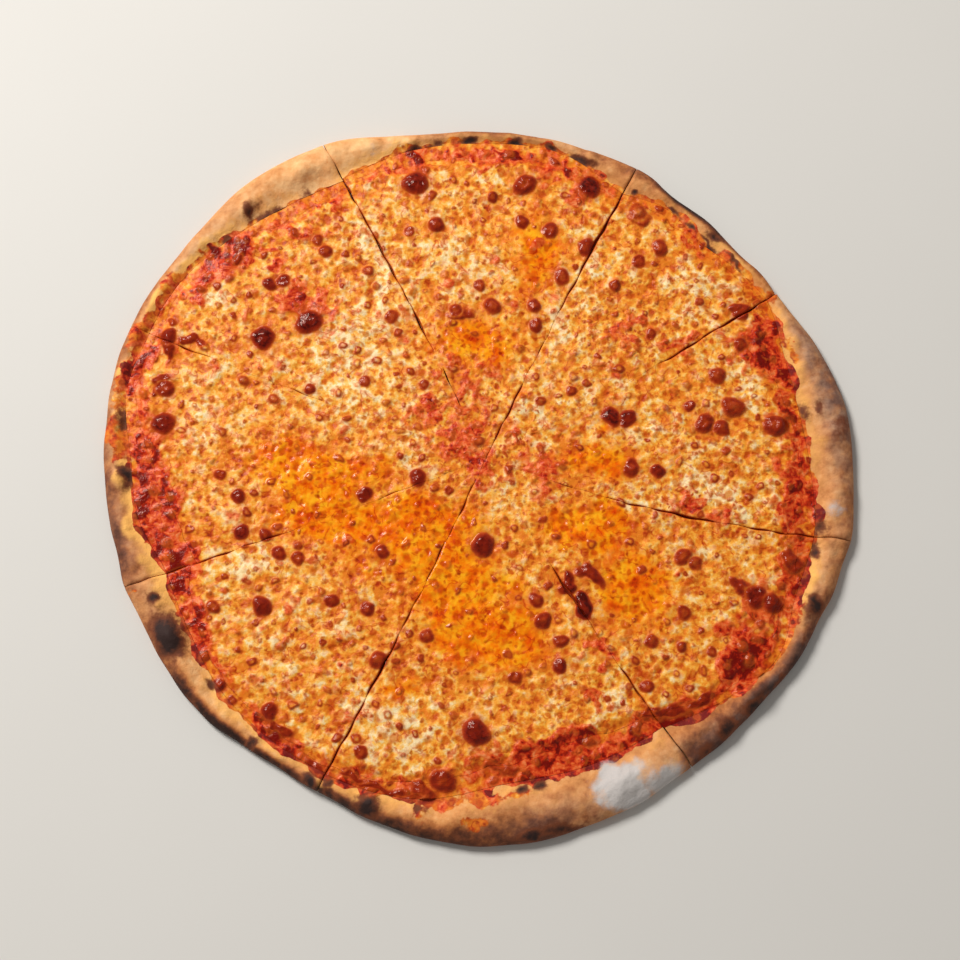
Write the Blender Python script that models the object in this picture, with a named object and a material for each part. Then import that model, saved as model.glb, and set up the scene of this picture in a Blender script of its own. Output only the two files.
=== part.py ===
"""Margherita pizza, whole, about 440 mm across, cut by four knife strokes into eight slices lying together.

Metres, +Z up. The origin is under the middle of the pizza's box, on the surface it lies on, and the
picture's top is +Y. Each slice is three solids that lie on each other and are cut by the same knife:
crust, sauce and cheese.
"""

import math
from typing import NamedTuple

import bmesh
import bpy
from mathutils import Vector, noise

MM = 0.001

# Layers under the toppings, in mm
BED = 4.0
LAYER_GAP = 0.3
SAUCE_THICK = 1.0
CHEESE_THICK = 2.3
SAUCE_FLOOR = BED + LAYER_GAP
CHEESE_FLOOR = SAUCE_FLOOR + SAUCE_THICK + LAYER_GAP

# Raised rim, in mm: a wide rim has puffed up a little more than a narrow one
RIM_LOW = 7.5
RIM_RISE = 0.1
RIM_EDGE = 3.0
RIM_TUCK = 2.0
RIM_CREST = 0.52
RIM_LUMP = 1.0
RIM_LUMP_SIZE = 17.0
RIM_WOBBLE = 0.8
RIM_WOBBLE_SIZE = 21.0
RIM_FADE = 0.5

# Sauce and cheese edges, in mm
SAUCE_INSET = 1.0
CHEESE_RAGGED = 1.6
CHEESE_RAGGED_SIZE = 9.0
CHEESE_RAGGED_BACK = 0.6
CHEESE_LIP = 0.8
CHEESE_CUT_THICK = 1.7
CHEESE_LIP_WIDTH = 6.0
CHEESE_SWELL = 0.5
CHEESE_SWELL_SIZE = 24.0
BLISTER_RISE = 0.42
BLISTER_SKIRT = 1.15
BLISTER_SNAP = 3.2

# Knife gap between neighbouring slices, in mm, where the toppings aren't pulled open
KNIFE_GAP = 0.5
GAP_SPREAD = 0.14

# Smooth noise comes from about -0.6 to 0.6, and this brings it to about -1 to 1
NOISE_GAIN = 1.6

# Edges sharper than this, in degrees, show as edges
SHARP_ANGLE = 50.0

# Mesh rows from a slice's tip to its rim
CRUST_ROWS = 22
CRUST_RIM_ROWS = 8
CHEESE_ROWS = 27
SAUCE_SIDE_STEPS = 12
SAUCE_ARC_STEPS = 18


class Cut(NamedTuple):
    """One pull of the knife, from the middle of the pizza out to the rim."""

    angle: float  # degrees, anticlockwise from +X
    reach: float  # mm
    bow: float  # mm sideways at half reach, anticlockwise
    opened: float  # mm that the toppings' gap is wider where it opened most
    opened_at: float  # that place, as a share of the reach


class Slice(NamedTuple):
    """One slice, clockwise from its first cut to its second: mm from the middle, at even steps."""

    outer: tuple  # to the rim's outer edge
    inner: tuple  # to the rim's foot, where the toppings end
    bare: tuple  # width of sauce that shows between the cheese and the rim


CUTS = (
    Cut(116.7, 223, -2.0, 0.0, 0.5),
    Cut(63.1, 205, 1.6, 2.0, 0.78),
    Cut(30.4, 203, -2.3, 2.2, 0.84),
    Cut(-12.9, 218, -8.0, 0.9, 0.75),
    Cut(-56.9, 213, -3.4, 2.6, 0.47),
    Cut(-116.4, 214, 1.6, 0.3, 0.6),
    Cut(-160.0, 223, 1.8, 0.0, 0.5),
    Cut(-201.0, 228, 2.0, 0.3, 0.7),
)

SLICES = (
    Slice((223, 211, 207.5, 206.5, 205), (196.5, 199.5, 199, 198, 186), (3, 8, 8, 8, 4)),
    Slice((205, 201, 200, 200.5, 202), (186, 191, 187, 191, 195), (3, 4, 3, 4, 3)),
    Slice((203, 210, 216, 216.5, 218), (195, 188.5, 187.5, 191, 196.5), (7, 10, 4, 6, 14)),
    Slice((218, 215, 214.5, 212.5, 213.5), (196.5, 196.5, 204, 196, 187), (6, 4, 8, 4, 8)),
    Slice((213.5, 219, 223, 220.5, 214.5), (186, 187.5, 189, 201, 204.5), (8, 14, 10, 8, 5)),
    Slice((214.5, 216, 221, 221, 222), (204, 204.5, 203.5, 199, 197), (4, 4, 4, 5, 12)),
    Slice((222, 223, 225, 227, 228.5), (197, 206, 209, 217, 215.5), (16, 20, 10, 5, 4)),
    Slice((228.5, 226, 225.5, 226.5, 223), (215.5, 213.5, 206, 199, 195), (4, 4, 6, 8, 5)),
)

# Large blisters in the baked cheese: x, y and radius in mm from the middle of the cuts
BLISTERS = (
    (-106, 84, 9), (-133, 74, 8), (-130, 108, 5), (-122, 110, 5), (-189, 75, 6), (-190, 42, 6),
    (-190, 21, 8), (-97, 129, 5), (-43, 172, 9), (-30, 145, 6), (4, 94, 6), (-18, 91, 5),
    (24, 171, 8), (63, 170, 8), (39, 142, 6), (46, 112, 6), (60, 131, 6), (92, 122, 5),
    (105, 131, 6), (92, 154, 7), (77, 107, 5), (78, 24, 9), (133, 21, 10), (146, 31, 8),
    (171, 20, 8), (137, 50, 6), (152, 70, 5), (85, -6, 6), (59, -68, 7), (117, -60, 7),
    (156, -82, 10), (105, -147, 7), (124, -140, 7), (114, -92, 5), (33, -96, 6), (43, -108, 5),
    (-2, -52, 8), (-6, -160, 9), (-24, -187, 8), (17, -129, 5), (-34, -105, 5), (-61, -119, 6),
    (-123, -148, 6), (-129, -88, 7), (-89, -85, 5), (-60, -56, 5), (-120, -57, 5), (-145, -23, 5),
    (-142, -44, 5), (-40, -12, 6), (-71, -22, 5), (-153, -134, 5),
)

# Air bubbles baked into the rim: degrees, mm from the middle, radius and height in mm
RIM_BUBBLES = (
    (133, 212, 8, 2.5), (103, 203, 7, 1.5), (71.6, 200, 7, 2.0), (3.9, 206, 10, 2.5),
    (-25.7, 205, 9, 2.5), (-41, 206, 14, 2.0), (-68.4, 204, 12, 2.5), (-95, 206, 12, 2.0),
    (-108, 208, 10, 2.5), (-149.5, 208, 11, 3.0), (173.3, 216, 7, 1.5), (-176.8, 213, 8, 2.0),
    (122, 212, 10, 2.0),
)

# Colour (linear RGB), roughness
LOOKS = {
    "crust": ((0.56, 0.29, 0.12), 0.75),
    "sauce": ((0.42, 0.05, 0.012), 0.35),
    "cheese": ((0.80, 0.40, 0.10), 0.40),
}


def smooth_step(x):
    """0 below 0, 1 above 1, and an even curve between."""
    x = min(max(x, 0.0), 1.0)
    return x * x * (3.0 - 2.0 * x)


def along(values, t):
    """Reads a row of evenly spaced values at t from 0 to 1, on a smooth curve through them."""
    spans = len(values) - 1
    k = min(int(t * spans), spans - 1)
    part = t * spans - k
    before = values[max(k - 1, 0)]
    after = values[min(k + 2, spans)]
    slope_a = (values[k + 1] - before) / 2.0
    slope_b = (after - values[k]) / 2.0
    cube = part * part * part
    square = part * part
    return (
        (2 * cube - 3 * square + 1) * values[k]
        + (cube - 2 * square + part) * slope_a
        + (3 * square - 2 * cube) * values[k + 1]
        + (cube - square) * slope_b
    )


def unevenness(x, y, size, layer):
    """Smooth noise from about -1 to 1 with lumps of the given size in mm. Layer picks another pattern."""
    return noise.noise(Vector((x / size, y / size, 7.3 * layer))) * NOISE_GAIN


def cut_angle(cut, radius):
    """The angle in degrees at which a cut's middle line passes a circle of this radius."""
    share = radius / cut.reach
    return cut.angle + math.degrees(4.0 * cut.bow * (1.0 - share) / cut.reach)


def half_gap(cut, radius, pulled):
    """Half of the knife's gap at this radius. Pulled is 1 for toppings and 0 for dough, which stayed shut."""
    away = (radius / cut.reach - cut.opened_at) / GAP_SPREAD
    return (KNIFE_GAP + pulled * cut.opened * math.exp(-away * away)) / 2.0


def slice_cuts(number):
    """The two cuts that bound a slice, the second one's angle below the first one's."""
    first = CUTS[number]
    second = CUTS[(number + 1) % len(CUTS)]
    if second.angle > first.angle:
        second = second._replace(angle=second.angle - 360.0)
    return first, second


def tip_radius(number):
    """How far from the middle of the cuts a slice's tip is, because both gaps are taken off it."""
    first, second = slice_cuts(number)
    span = math.radians(cut_angle(first, 0.0) - cut_angle(second, 0.0))
    return max(half_gap(first, 0.0, 1), half_gap(second, 0.0, 1)) / math.sin(span / 2.0)


def place(number, radius, t, pulled=1):
    """The point in mm at this radius, a share t of the way clockwise across a slice."""
    first, second = slice_cuts(number)
    near = math.asin(min(1.0, half_gap(first, radius, pulled) / radius))
    far = math.asin(min(1.0, half_gap(second, radius, pulled) / radius))
    start = math.radians(cut_angle(first, radius)) - near
    end = math.radians(cut_angle(second, radius)) + far
    angle = start + (end - start) * t
    return radius * math.cos(angle), radius * math.sin(angle)


def rim_edge(number, t):
    """Radius of the rim's outer edge, with a slight wobble."""
    radius = along(SLICES[number].outer, t)
    x, y = place(number, radius, t)
    return radius + RIM_WOBBLE * unevenness(x, y, RIM_WOBBLE_SIZE, 1)


def rim_foot(number, t):
    """Radius at which the crust starts to rise to the rim."""
    return along(SLICES[number].inner, t)


def cheese_edge(number, t):
    """Radius at which the cheese ends, ragged."""
    radius = rim_foot(number, t) - along(SLICES[number].bare, t)
    x, y = place(number, radius, t)
    return radius + CHEESE_RAGGED * (unevenness(x, y, CHEESE_RAGGED_SIZE, 2) - CHEESE_RAGGED_BACK)


def rim_height(q, width):
    """Height in mm of the rim's top face, q from 0 at its foot to 1 at its outer edge."""
    crest = RIM_LOW + RIM_RISE * width
    if q < RIM_CREST:
        return BED + (crest - BED) * smooth_step(q / RIM_CREST)
    outward = (q - RIM_CREST) / (1.0 - RIM_CREST)
    return RIM_EDGE + (crest - RIM_EDGE) * math.sqrt(max(0.0, 1.0 - outward * outward))


def rim_share(k):
    """Share of the rim's width at row k of it: closer together where the outer side turns down."""
    half = CRUST_RIM_ROWS // 2
    if k <= half:
        return RIM_CREST * k / half
    turn = math.sin((k - half) / (CRUST_RIM_ROWS - half) * math.pi / 2.0)
    return RIM_CREST + (1.0 - RIM_CREST) * turn


def dome(x, y, spot_x, spot_y, radius):
    """1 at a round spot's middle, falling smoothly to 0 at its edge."""
    away = ((x - spot_x) ** 2 + (y - spot_y) ** 2) / (radius * radius)
    return max(0.0, 1.0 - away) ** 2


def rim_relief(x, y):
    """Lumps and air bubbles of the rim, in mm."""
    height = RIM_LUMP * unevenness(x, y, RIM_LUMP_SIZE, 3)
    for degrees, radius, size, rise in RIM_BUBBLES:
        spot_x = radius * math.cos(math.radians(degrees))
        spot_y = radius * math.sin(math.radians(degrees))
        height += rise * dome(x, y, spot_x, spot_y, size)
    return height


def crust_point(number, row, t, below):
    """A vertex of the crust, in mm: flat under the toppings, then the raised rim."""
    foot = rim_foot(number, t)
    bed_rows = CRUST_ROWS - CRUST_RIM_ROWS
    if row <= bed_rows:
        tip = tip_radius(number)
        x, y = place(number, tip + (foot - tip) * row / bed_rows, t, 0)
        return x, y, 0.0 if below else BED
    width = rim_edge(number, t) - foot
    q = rim_share(row - bed_rows)
    if below:
        x, y = place(number, foot + (width - RIM_TUCK) * q, t, 0)
        return x, y, 0.0
    x, y = place(number, foot + width * q, t, 0)
    fade = math.sin(math.pi * q) ** RIM_FADE if q < 1.0 else 0.0
    return x, y, rim_height(q, width) + fade * rim_relief(x, y)


def cheese_point(number, row, t, below):
    """A vertex of the cheese, in mm: thin at its edges, swollen and blistered inside them."""
    tip = tip_radius(number)
    edge = cheese_edge(number, t)
    radius = tip + (edge - tip) * row / CHEESE_ROWS
    x, y = place(number, radius, t)
    if below:
        return x, y, CHEESE_FLOOR
    from_rim = smooth_step((edge - radius) / CHEESE_LIP_WIDTH)
    at_cut = row == 0 or t in (0.0, 1.0)
    full = CHEESE_CUT_THICK if at_cut else CHEESE_THICK
    thick = CHEESE_LIP + (full - CHEESE_LIP) * from_rim
    thick += CHEESE_SWELL * from_rim * unevenness(x, y, CHEESE_SWELL_SIZE, 4)
    return x, y, CHEESE_FLOOR + thick + blister_height(x, y) * from_rim


def blister_height(x, y):
    """Height in mm that the large blisters add to the cheese."""
    return max(BLISTER_RISE * size * dome(x, y, bx, by, size * BLISTER_SKIRT) for bx, by, size in BLISTERS)


def wedge_cage(rows):
    """A closed wedge with an even triangle net on top. Each vertex is (row, t, 0 for the top or -1 below)."""
    cage = bmesh.new()
    bmesh.ops.create_circle(cage, cap_ends=True, segments=3, radius=1.0)
    tip, left, right = (v.co.copy() for v in cage.verts)
    bmesh.ops.subdivide_edges(cage, edges=cage.edges[:], cuts=rows - 1, use_grid_fill=True)
    across = right - left
    down = (left + right) / 2.0 - tip
    for v in cage.verts:
        share = (v.co - tip).dot(down) / down.length_squared
        row = round(share * rows)
        sideways = (v.co - tip).dot(across) / across.length_squared
        t = 0.5 if row == 0 else round(sideways * rows + row / 2.0) / row
        v.co = (row, t, 0.0)
    border = [e for e in cage.edges if e.is_boundary]
    made = bmesh.ops.extrude_edge_only(cage, edges=border)["geom"]
    for v in made:
        if isinstance(v, bmesh.types.BMVert):
            v.co.z = -1.0
    floor_edges = [e for e in made if isinstance(e, bmesh.types.BMEdge) and e.is_boundary]
    bmesh.ops.contextual_create(cage, geom=floor_edges)
    return cage


def snap_to_blisters(solid):
    """Moves the nearest inner vertex of the top face to the middle of each large blister."""
    inner = [v for v in solid.verts if not any(len(f.verts) > 3 for f in v.link_faces)]
    taken = set()
    for bx, by, _ in BLISTERS:
        middle = Vector((bx * MM, by * MM, 0.0))
        nearest = min(inner, key=lambda v: (v.co.xy - middle.xy).length)
        if (nearest.co.xy - middle.xy).length < BLISTER_SNAP * MM and nearest not in taken:
            taken.add(nearest)
            nearest.co = (middle.x, middle.y, nearest.co.z)
    for v in taken:
        x, y = v.co.x / MM, v.co.y / MM
        swell = CHEESE_SWELL * unevenness(x, y, CHEESE_SWELL_SIZE, 4)
        v.co.z = (CHEESE_FLOOR + CHEESE_THICK + swell + blister_height(x, y)) * MM


def look(name):
    """The plain material of a layer."""
    colour, roughness = LOOKS[name]
    material = bpy.data.materials.new(name)
    material.use_nodes = True
    shader = material.node_tree.nodes["Principled BSDF"]
    shader.inputs["Base Color"].default_value = (*colour, 1.0)
    shader.inputs["Roughness"].default_value = roughness
    shader.inputs["Metallic"].default_value = 0.0
    return material


def add_object(name, data, material, middle, collection):
    """Puts a mesh or curve in the scene, hung on the empty at the middle of the cuts."""
    data.materials.append(material)
    thing = bpy.data.objects.new(name, data)
    thing.parent = middle
    collection.objects.link(thing)
    return thing


def finish_mesh(name, solid):
    """Turns a bmesh into a mesh with its faces pointing out."""
    bmesh.ops.recalc_face_normals(solid, faces=solid.faces[:])
    if solid.calc_volume(signed=True) < 0.0:
        bmesh.ops.reverse_faces(solid, faces=solid.faces[:])
    mesh = bpy.data.meshes.new(name)
    solid.to_mesh(mesh)
    solid.free()
    mesh.shade_smooth()
    mesh.set_sharp_from_angle(angle=math.radians(SHARP_ANGLE))
    return mesh


def shaped(rows, point, number):
    """A wedge cage with each vertex moved to its place in the slice."""
    solid = wedge_cage(rows)
    for v in solid.verts:
        row, t, level = v.co
        x, y, z = point(number, round(row), t, level < -0.5)
        v.co = (x * MM, y * MM, z * MM)
    return solid


def crust_mesh(number):
    """The baked dough of one slice."""
    return finish_mesh(f"crust_{number + 1}", shaped(CRUST_ROWS, crust_point, number))


def cheese_mesh(number):
    """The melted cheese of one slice."""
    solid = shaped(CHEESE_ROWS, cheese_point, number)
    snap_to_blisters(solid)
    return finish_mesh(f"cheese_{number + 1}", solid)


def sauce_side(number, tip, t):
    """Points of the sauce's outline along one cut, tip and rim left out."""
    edge = rim_foot(number, t) - SAUCE_INSET
    return [place(number, tip + (edge - tip) * k / SAUCE_SIDE_STEPS, t) for k in range(1, SAUCE_SIDE_STEPS)]


def sauce_curve(number):
    """The sauce of one slice: a flat outline with its thickness."""
    tip = tip_radius(number)
    outline = [place(number, tip, 0.5)]
    outline += sauce_side(number, tip, 0.0)
    for k in range(SAUCE_ARC_STEPS + 1):
        t = k / SAUCE_ARC_STEPS
        outline.append(place(number, rim_foot(number, t) - SAUCE_INSET, t))
    outline += reversed(sauce_side(number, tip, 1.0))
    curve = bpy.data.curves.new(f"sauce_{number + 1}", "CURVE")
    curve.dimensions = "2D"
    curve.fill_mode = "BOTH"
    curve.extrude = SAUCE_THICK * MM / 2.0
    spline = curve.splines.new("POLY")
    spline.points.add(len(outline) - 1)
    for point, (x, y) in zip(spline.points, outline):
        point.co = (x * MM, y * MM, 0.0, 1.0)
    spline.use_cyclic_u = True
    return curve


def box_middle(meshes):
    """The middle in x and y of the box round some meshes."""
    xs = [v.co.x for mesh in meshes for v in mesh.vertices]
    ys = [v.co.y for mesh in meshes for v in mesh.vertices]
    return (min(xs) + max(xs)) / 2.0, (min(ys) + max(ys)) / 2.0


def main():
    for thing in list(bpy.data.objects):
        bpy.data.objects.remove(thing, do_unlink=True)
    pizza = bpy.data.collections.new("margherita_pizza")
    bpy.context.scene.collection.children.link(pizza)
    materials = {name: look(name) for name in LOOKS}
    crusts = [crust_mesh(number) for number in range(len(SLICES))]
    mid_x, mid_y = box_middle(crusts)
    middle = bpy.data.objects.new("middle_of_the_cuts", None)
    middle.location = (-mid_x, -mid_y, 0.0)
    pizza.objects.link(middle)
    for number, crust in enumerate(crusts):
        name = number + 1
        add_object(f"crust_{name}", crust, materials["crust"], middle, pizza)
        sauce = add_object(f"sauce_{name}", sauce_curve(number), materials["sauce"], middle, pizza)
        sauce.location.z = (SAUCE_FLOOR + SAUCE_THICK / 2.0) * MM
        add_object(f"cheese_{name}", cheese_mesh(number), materials["cheese"], middle, pizza)


main()
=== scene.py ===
"""Looks of the whole margherita pizza: eight slices, each a baked crust, a tomato layer and melted cheese.

The solids give the places. Sizes here are in mm from the middle of the cuts, as in the part's source, and
turn into metres when a mesh is made. Maps over the whole pizza hold its relief and its colours, each slice's
surface reads them at its own points, and the materials mix their colours by what was read.
"""

import math
from typing import NamedTuple

import bpy
import numpy as np
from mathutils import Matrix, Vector, noise


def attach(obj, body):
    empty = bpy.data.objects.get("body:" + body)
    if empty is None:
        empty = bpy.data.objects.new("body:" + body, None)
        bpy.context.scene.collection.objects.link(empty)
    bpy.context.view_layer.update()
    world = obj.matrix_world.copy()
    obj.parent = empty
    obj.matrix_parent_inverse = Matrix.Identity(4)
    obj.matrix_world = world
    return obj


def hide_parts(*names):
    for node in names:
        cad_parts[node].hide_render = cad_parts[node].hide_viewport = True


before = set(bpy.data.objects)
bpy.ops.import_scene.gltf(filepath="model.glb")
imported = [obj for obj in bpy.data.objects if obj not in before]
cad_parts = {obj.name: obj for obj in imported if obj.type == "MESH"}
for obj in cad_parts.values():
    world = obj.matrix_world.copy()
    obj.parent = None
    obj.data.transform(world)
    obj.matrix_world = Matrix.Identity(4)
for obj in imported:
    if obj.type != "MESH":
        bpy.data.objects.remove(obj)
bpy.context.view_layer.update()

MM = 0.001

# Where the middle of the cuts is in the frame, in mm
MIDDLE_X = 4.721
MIDDLE_Y = 7.814

# Layers under the toppings, in mm
BED = 4.0
LAYER_GAP = 0.3
SAUCE_THICK = 1.0
CHEESE_THICK = 2.3
SAUCE_FLOOR = BED + LAYER_GAP
CHEESE_FLOOR = SAUCE_FLOOR + SAUCE_THICK + LAYER_GAP

# Raised rim, in mm: it starts level with the toppings, and a wide rim has puffed up a little more
RIM_START = 6.0
RIM_LOW = 7.5
RIM_RISE = 0.1
RIM_EDGE = 3.0
RIM_TUCK = 2.0
RIM_CREST = 0.52
RIM_LUMP = 1.0
RIM_LUMP_SIZE = 17.0
RIM_WOBBLE = 0.8
RIM_WOBBLE_SIZE = 21.0

# Edges of the sauce and the cheese, in mm
SAUCE_INSET = 0.1
SAUCE_CLEAR = 0.1
CHEESE_RAGGED = 1.6
CHEESE_RAGGED_SIZE = 9.0
CHEESE_RAGGED_BACK = 0.6
CHEESE_LIP = 0.7
CHEESE_LIP_WIDTH = 7.0
CHEESE_SWELL = 0.5
CHEESE_SWELL_SIZE = 24.0
CHEESE_THINNEST = 0.25
RING_DROP = 0.35

# Cuts, in mm: how close the crusts lie under the toppings, how close shut cheese lies, how wide the sauce
# opens at most, and the share of a cut's reach over which its torn hole spreads
BED_GAP = 0.15
SHUT_GAP = 0.08
SAUCE_OPEN = 0.5
HOLE_SPREAD = 0.055

# The knife's unevenness, in mm: how far it strayed, how long each stray is, and from which radius on
STRAY = 0.25
STRAY_LENGTHS = (2.9, 7.3)
STRAY_FROM = 20.0

# Melted cheese opened and closed a cut by turns: the mean share of its gap that stays, and for each wave its
# size, length in mm and shift from cut to cut
GAP_MEAN = 0.75
GAP_WAVES = ((0.18, 2.3, 2.0), (0.20, 5.7, 3.0))

# Toppings beside an open cut, in mm: rounded over this width, down by this much and darkened with painted
# shade over this width, more and more from a barely open cut to a wide one
LIP_ROUND = 1.3
LIP_DROP = 0.8
LIP_SHADE_WIDTH = 0.7
BARELY_OPEN = 0.15
WIDE_OPEN = 0.45

# Crusts part at the rim over this share of a cut's reach
CRUST_PARTS = (0.80, 0.88)

# Rim beside a cut, in mm: rounded over this width and by this much
RIM_CUT_ROUND = 1.4
RIM_CUT_DROP = 0.8

# Toppings spilt onto the rim, in mm: how far past its foot, how much lumps, large and small, move that, how
# softly they end, and the share of their relief that they keep there
SPILL = 1.6
SPILL_LUMPS = 1.4
SPILL_SMALL = 0.3
SPILL_FADE = 3.0
SPILL_RELIEF = 0.5

# Sauce shows redder this close to the rim, in mm, with this share of the relief
NEAR_RIM = 9.0
RING_RELIEF = 0.8

# How brown the cheese is down its sides, and the sauce that it hides: painted shade, which darkens the cuts
# where these show
SIDE_SHADE_BROWN = 0.45
HIDDEN_SHADE_BROWN = 0.72

# Smooth noise comes from about -0.6 to 0.6, and this brings it to about -1 to 1
NOISE_GAIN = 1.6

# Points of the visible surfaces
CHEESE_ROWS = 290
RIM_COLUMNS = 230
RIM_ROWS = 36
BED_STEPS = 40
SAUCE_ROWS = 16
STEEP = 0.004

# How the crust's walls draw in under the rim, as shares of the way down
WALL_STEPS = (0.25, 0.5, 0.75, 1.0)
WALL_CURVE = 1.6

# The maps cover a square of this half width, in mm, at this many mm a cell
MAP_HALF = 235.0
MAP_PITCH = 0.4
MAP_SIDE = int(2 * MAP_HALF / MAP_PITCH) + 1

# Random pits and blisters, in mm: how far out they go, how far apart they are, their smallest radius and how
# much more the largest has
SCATTER_REACH = 228.0
SCATTER_CELL = 2.0
DIMPLE_TRIES = 22000
DIMPLE_SPACING = 5.0
DIMPLE_RADIUS = 1.5
DIMPLE_MORE = 2.0
DIMPLE_DEPTH = 0.45
BLISTER_TRIES = 9000
BLISTER_SPACING = 8.0
BLISTER_OILY_MORE = 5.0
BLISTER_CLEAR = 2.5
BLISTER_RADIUS = 1.3
BLISTER_MORE = 1.9
BLISTER_RISE = (0.26, 0.42)
BURNT = 0.87
TOO_FAR = 1000.0

# The maps' noises: their lumps' size in mm, and the reach and size in mm of the swirls that bend the zones
LUMP_SIZE = 7.0
SMALL_SIZE = 3.2
GRAIN_SIZE = 1.7
BENDS = ((3.0, 9.0), (1.3, 3.0))
SEED = 11

# Relief that the noises give, in mm: to the cheese, more to its browned parts, and to the dough
CHEESE_RELIEF = (0.22, 0.15, 0.05)
CRISP_RELIEF = (0.0, 0.10, 0.09)
DOUGH_RELIEF = (0.38, 0.16, 0.05)

# Noises of the materials, in mm
PATCH = 11.0
CLUMP = 8.0
CURD = 4.6
FINE = 1.9
SWIRL = 13.0
SWIRL_REACH = 8.0
STRAND_WIDTH = 3.2
STRAND_LENGTH = 10.0
THREAD_SIZE = 9.0
SPECKS_APART = 4.6
FLECKS_APART = 3.6
MOTTLE = 13.0
BLOTCH = 5.0
DOUGH_FINE = 2.4
DUST = 0.8
ASH_SIZE = 9.0
CRUMB_SIZE = 1.6
FLOOR_CLOUDS = 300.0

# Edges sharper than this, in degrees, show as edges
SHARP_ANGLE = 70.0

# Light: towards it, how far and how wide in metres, and how strong
KEY_DIRECTION = (-0.50, 0.51, 0.70)
KEY_AWAY = 2.6
KEY_SIZE = 0.9
KEY_POWER = 70.5
KEY_COLOUR = (1.0, 0.98, 0.945)
SKY_LOW = 0.50
SKY_HIGH = 0.15
SKY_COLOUR = (1.0, 0.975, 0.94, 1.0)


class Cut(NamedTuple):
    """One pull of the knife, from the middle of the pizza out to the rim."""

    angle: float  # degrees, anticlockwise from +X
    reach: float  # mm
    bow: float  # mm sideways at half reach, anticlockwise
    gaps: tuple  # mm between the toppings, at even steps from the middle to the rim
    hole: float  # mm more where the toppings are torn open
    hole_at: float  # that place, as a share of the reach
    rim: float  # mm between the crusts at the rim


class Slice(NamedTuple):
    """One slice, clockwise from its first cut to its second: mm from the middle, at even steps."""

    outer: tuple  # to the rim's outer edge
    inner: tuple  # to the rim's foot, where the toppings end
    bare: tuple  # width of sauce that shows between the cheese and the rim


# The toppings ran together again over much of some cuts
CUTS = (
    Cut(116.7, 223, -2.0, (0.1, 0.1, 0.2, 0.3, 0.6, 0.5, 0.7, 0.7, 0.6, 0.7, 0.5), 0.0, 0.5, 0.6),
    Cut(63.1, 205, 1.6, (0.2, 0.6, 0.5, 0.35, 0.3, 0.35, 0.6, 1.1, 1.2, 0.8, 0.5), 0.7, 0.76, 0.7),
    Cut(30.4, 203, -2.3, (0.1, 0.1, 0.1, 0.1, 0.1, 0.12, 0.4, 0.7, 0.5, 0.7, 0.6), 0.6, 0.86, 0.7),
    Cut(-12.9, 218, -8.0, (0.1, 0.1, 0.25, 0.25, 0.4, 0.6, 0.5, 0.3, 0.8, 0.7, 0.4), 0.7, 0.56, 0.6),
    Cut(-56.9, 213, -3.4, (0.1, 0.1, 0.1, 0.15, 0.3, 0.3, 0.15, 0.5, 0.6, 0.3, 0.5), 1.6, 0.45, 0.8),
    Cut(-116.4, 214, 1.6, (0.2, 0.4, 0.4, 0.4, 0.4, 0.4, 0.6, 0.6, 0.5, 0.9, 0.6), 0.7, 0.65, 0.6),
    Cut(-160.0, 223, 1.8, (0.1, 0.12, 0.3, 0.25, 0.1, 0.1, 0.4, 0.4, 0.5, 0.7, 0.4), 0.0, 0.5, 0.5),
    Cut(-201.0, 228, 2.0, (0.1, 0.1, 0.1, 0.1, 0.1, 0.3, 0.2, 0.1, 0.35, 0.45, 0.2), 0.0, 0.5, 0.2),
)

SLICES = (
    Slice((223, 211, 207.5, 206.5, 205), (196.5, 199.5, 199, 198, 186), (3, 8, 8, 8, 4)),
    Slice((205, 201, 200, 200.5, 202), (186, 191, 187, 191, 195), (3, 4, 3, 4, 3)),
    Slice((203, 210, 216, 216.5, 218), (195, 188.5, 187.5, 191, 196.5), (7, 10, 4, 6, 14)),
    Slice((218, 215, 214.5, 212.5, 213.5), (196.5, 196.5, 204, 196, 187), (6, 4, 8, 4, 8)),
    Slice((213.5, 219, 223, 220.5, 214.5), (186, 187.5, 189, 201, 204.5), (8, 14, 10, 8, 5)),
    Slice((214.5, 216, 221, 221, 222), (204, 204.5, 203.5, 199, 197), (4, 4, 4, 5, 12)),
    Slice((222, 223, 225, 227, 228.5), (197, 206, 209, 217, 215.5), (16, 20, 10, 5, 4)),
    Slice((228.5, 226, 225.5, 226.5, 223), (215.5, 213.5, 206, 199, 195), (4, 4, 6, 8, 5)),
)

# Air bubbles baked into the rim: degrees, mm from the middle, radius and height in mm
RIM_BUBBLES = (
    (133, 212, 8, 2.5), (103, 203, 7, 1.5), (71.6, 200, 7, 2.0), (3.9, 206, 10, 2.5), (-25.7, 205, 9, 2.5),
    (-41, 206, 14, 2.0), (-68.4, 204, 12, 2.5), (-95, 206, 12, 2.0), (-108, 208, 10, 2.5),
    (-149.5, 208, 11, 3.0), (173.3, 216, 7, 1.5), (-176.8, 213, 8, 2.0), (122, 212, 10, 2.0),
)

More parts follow.
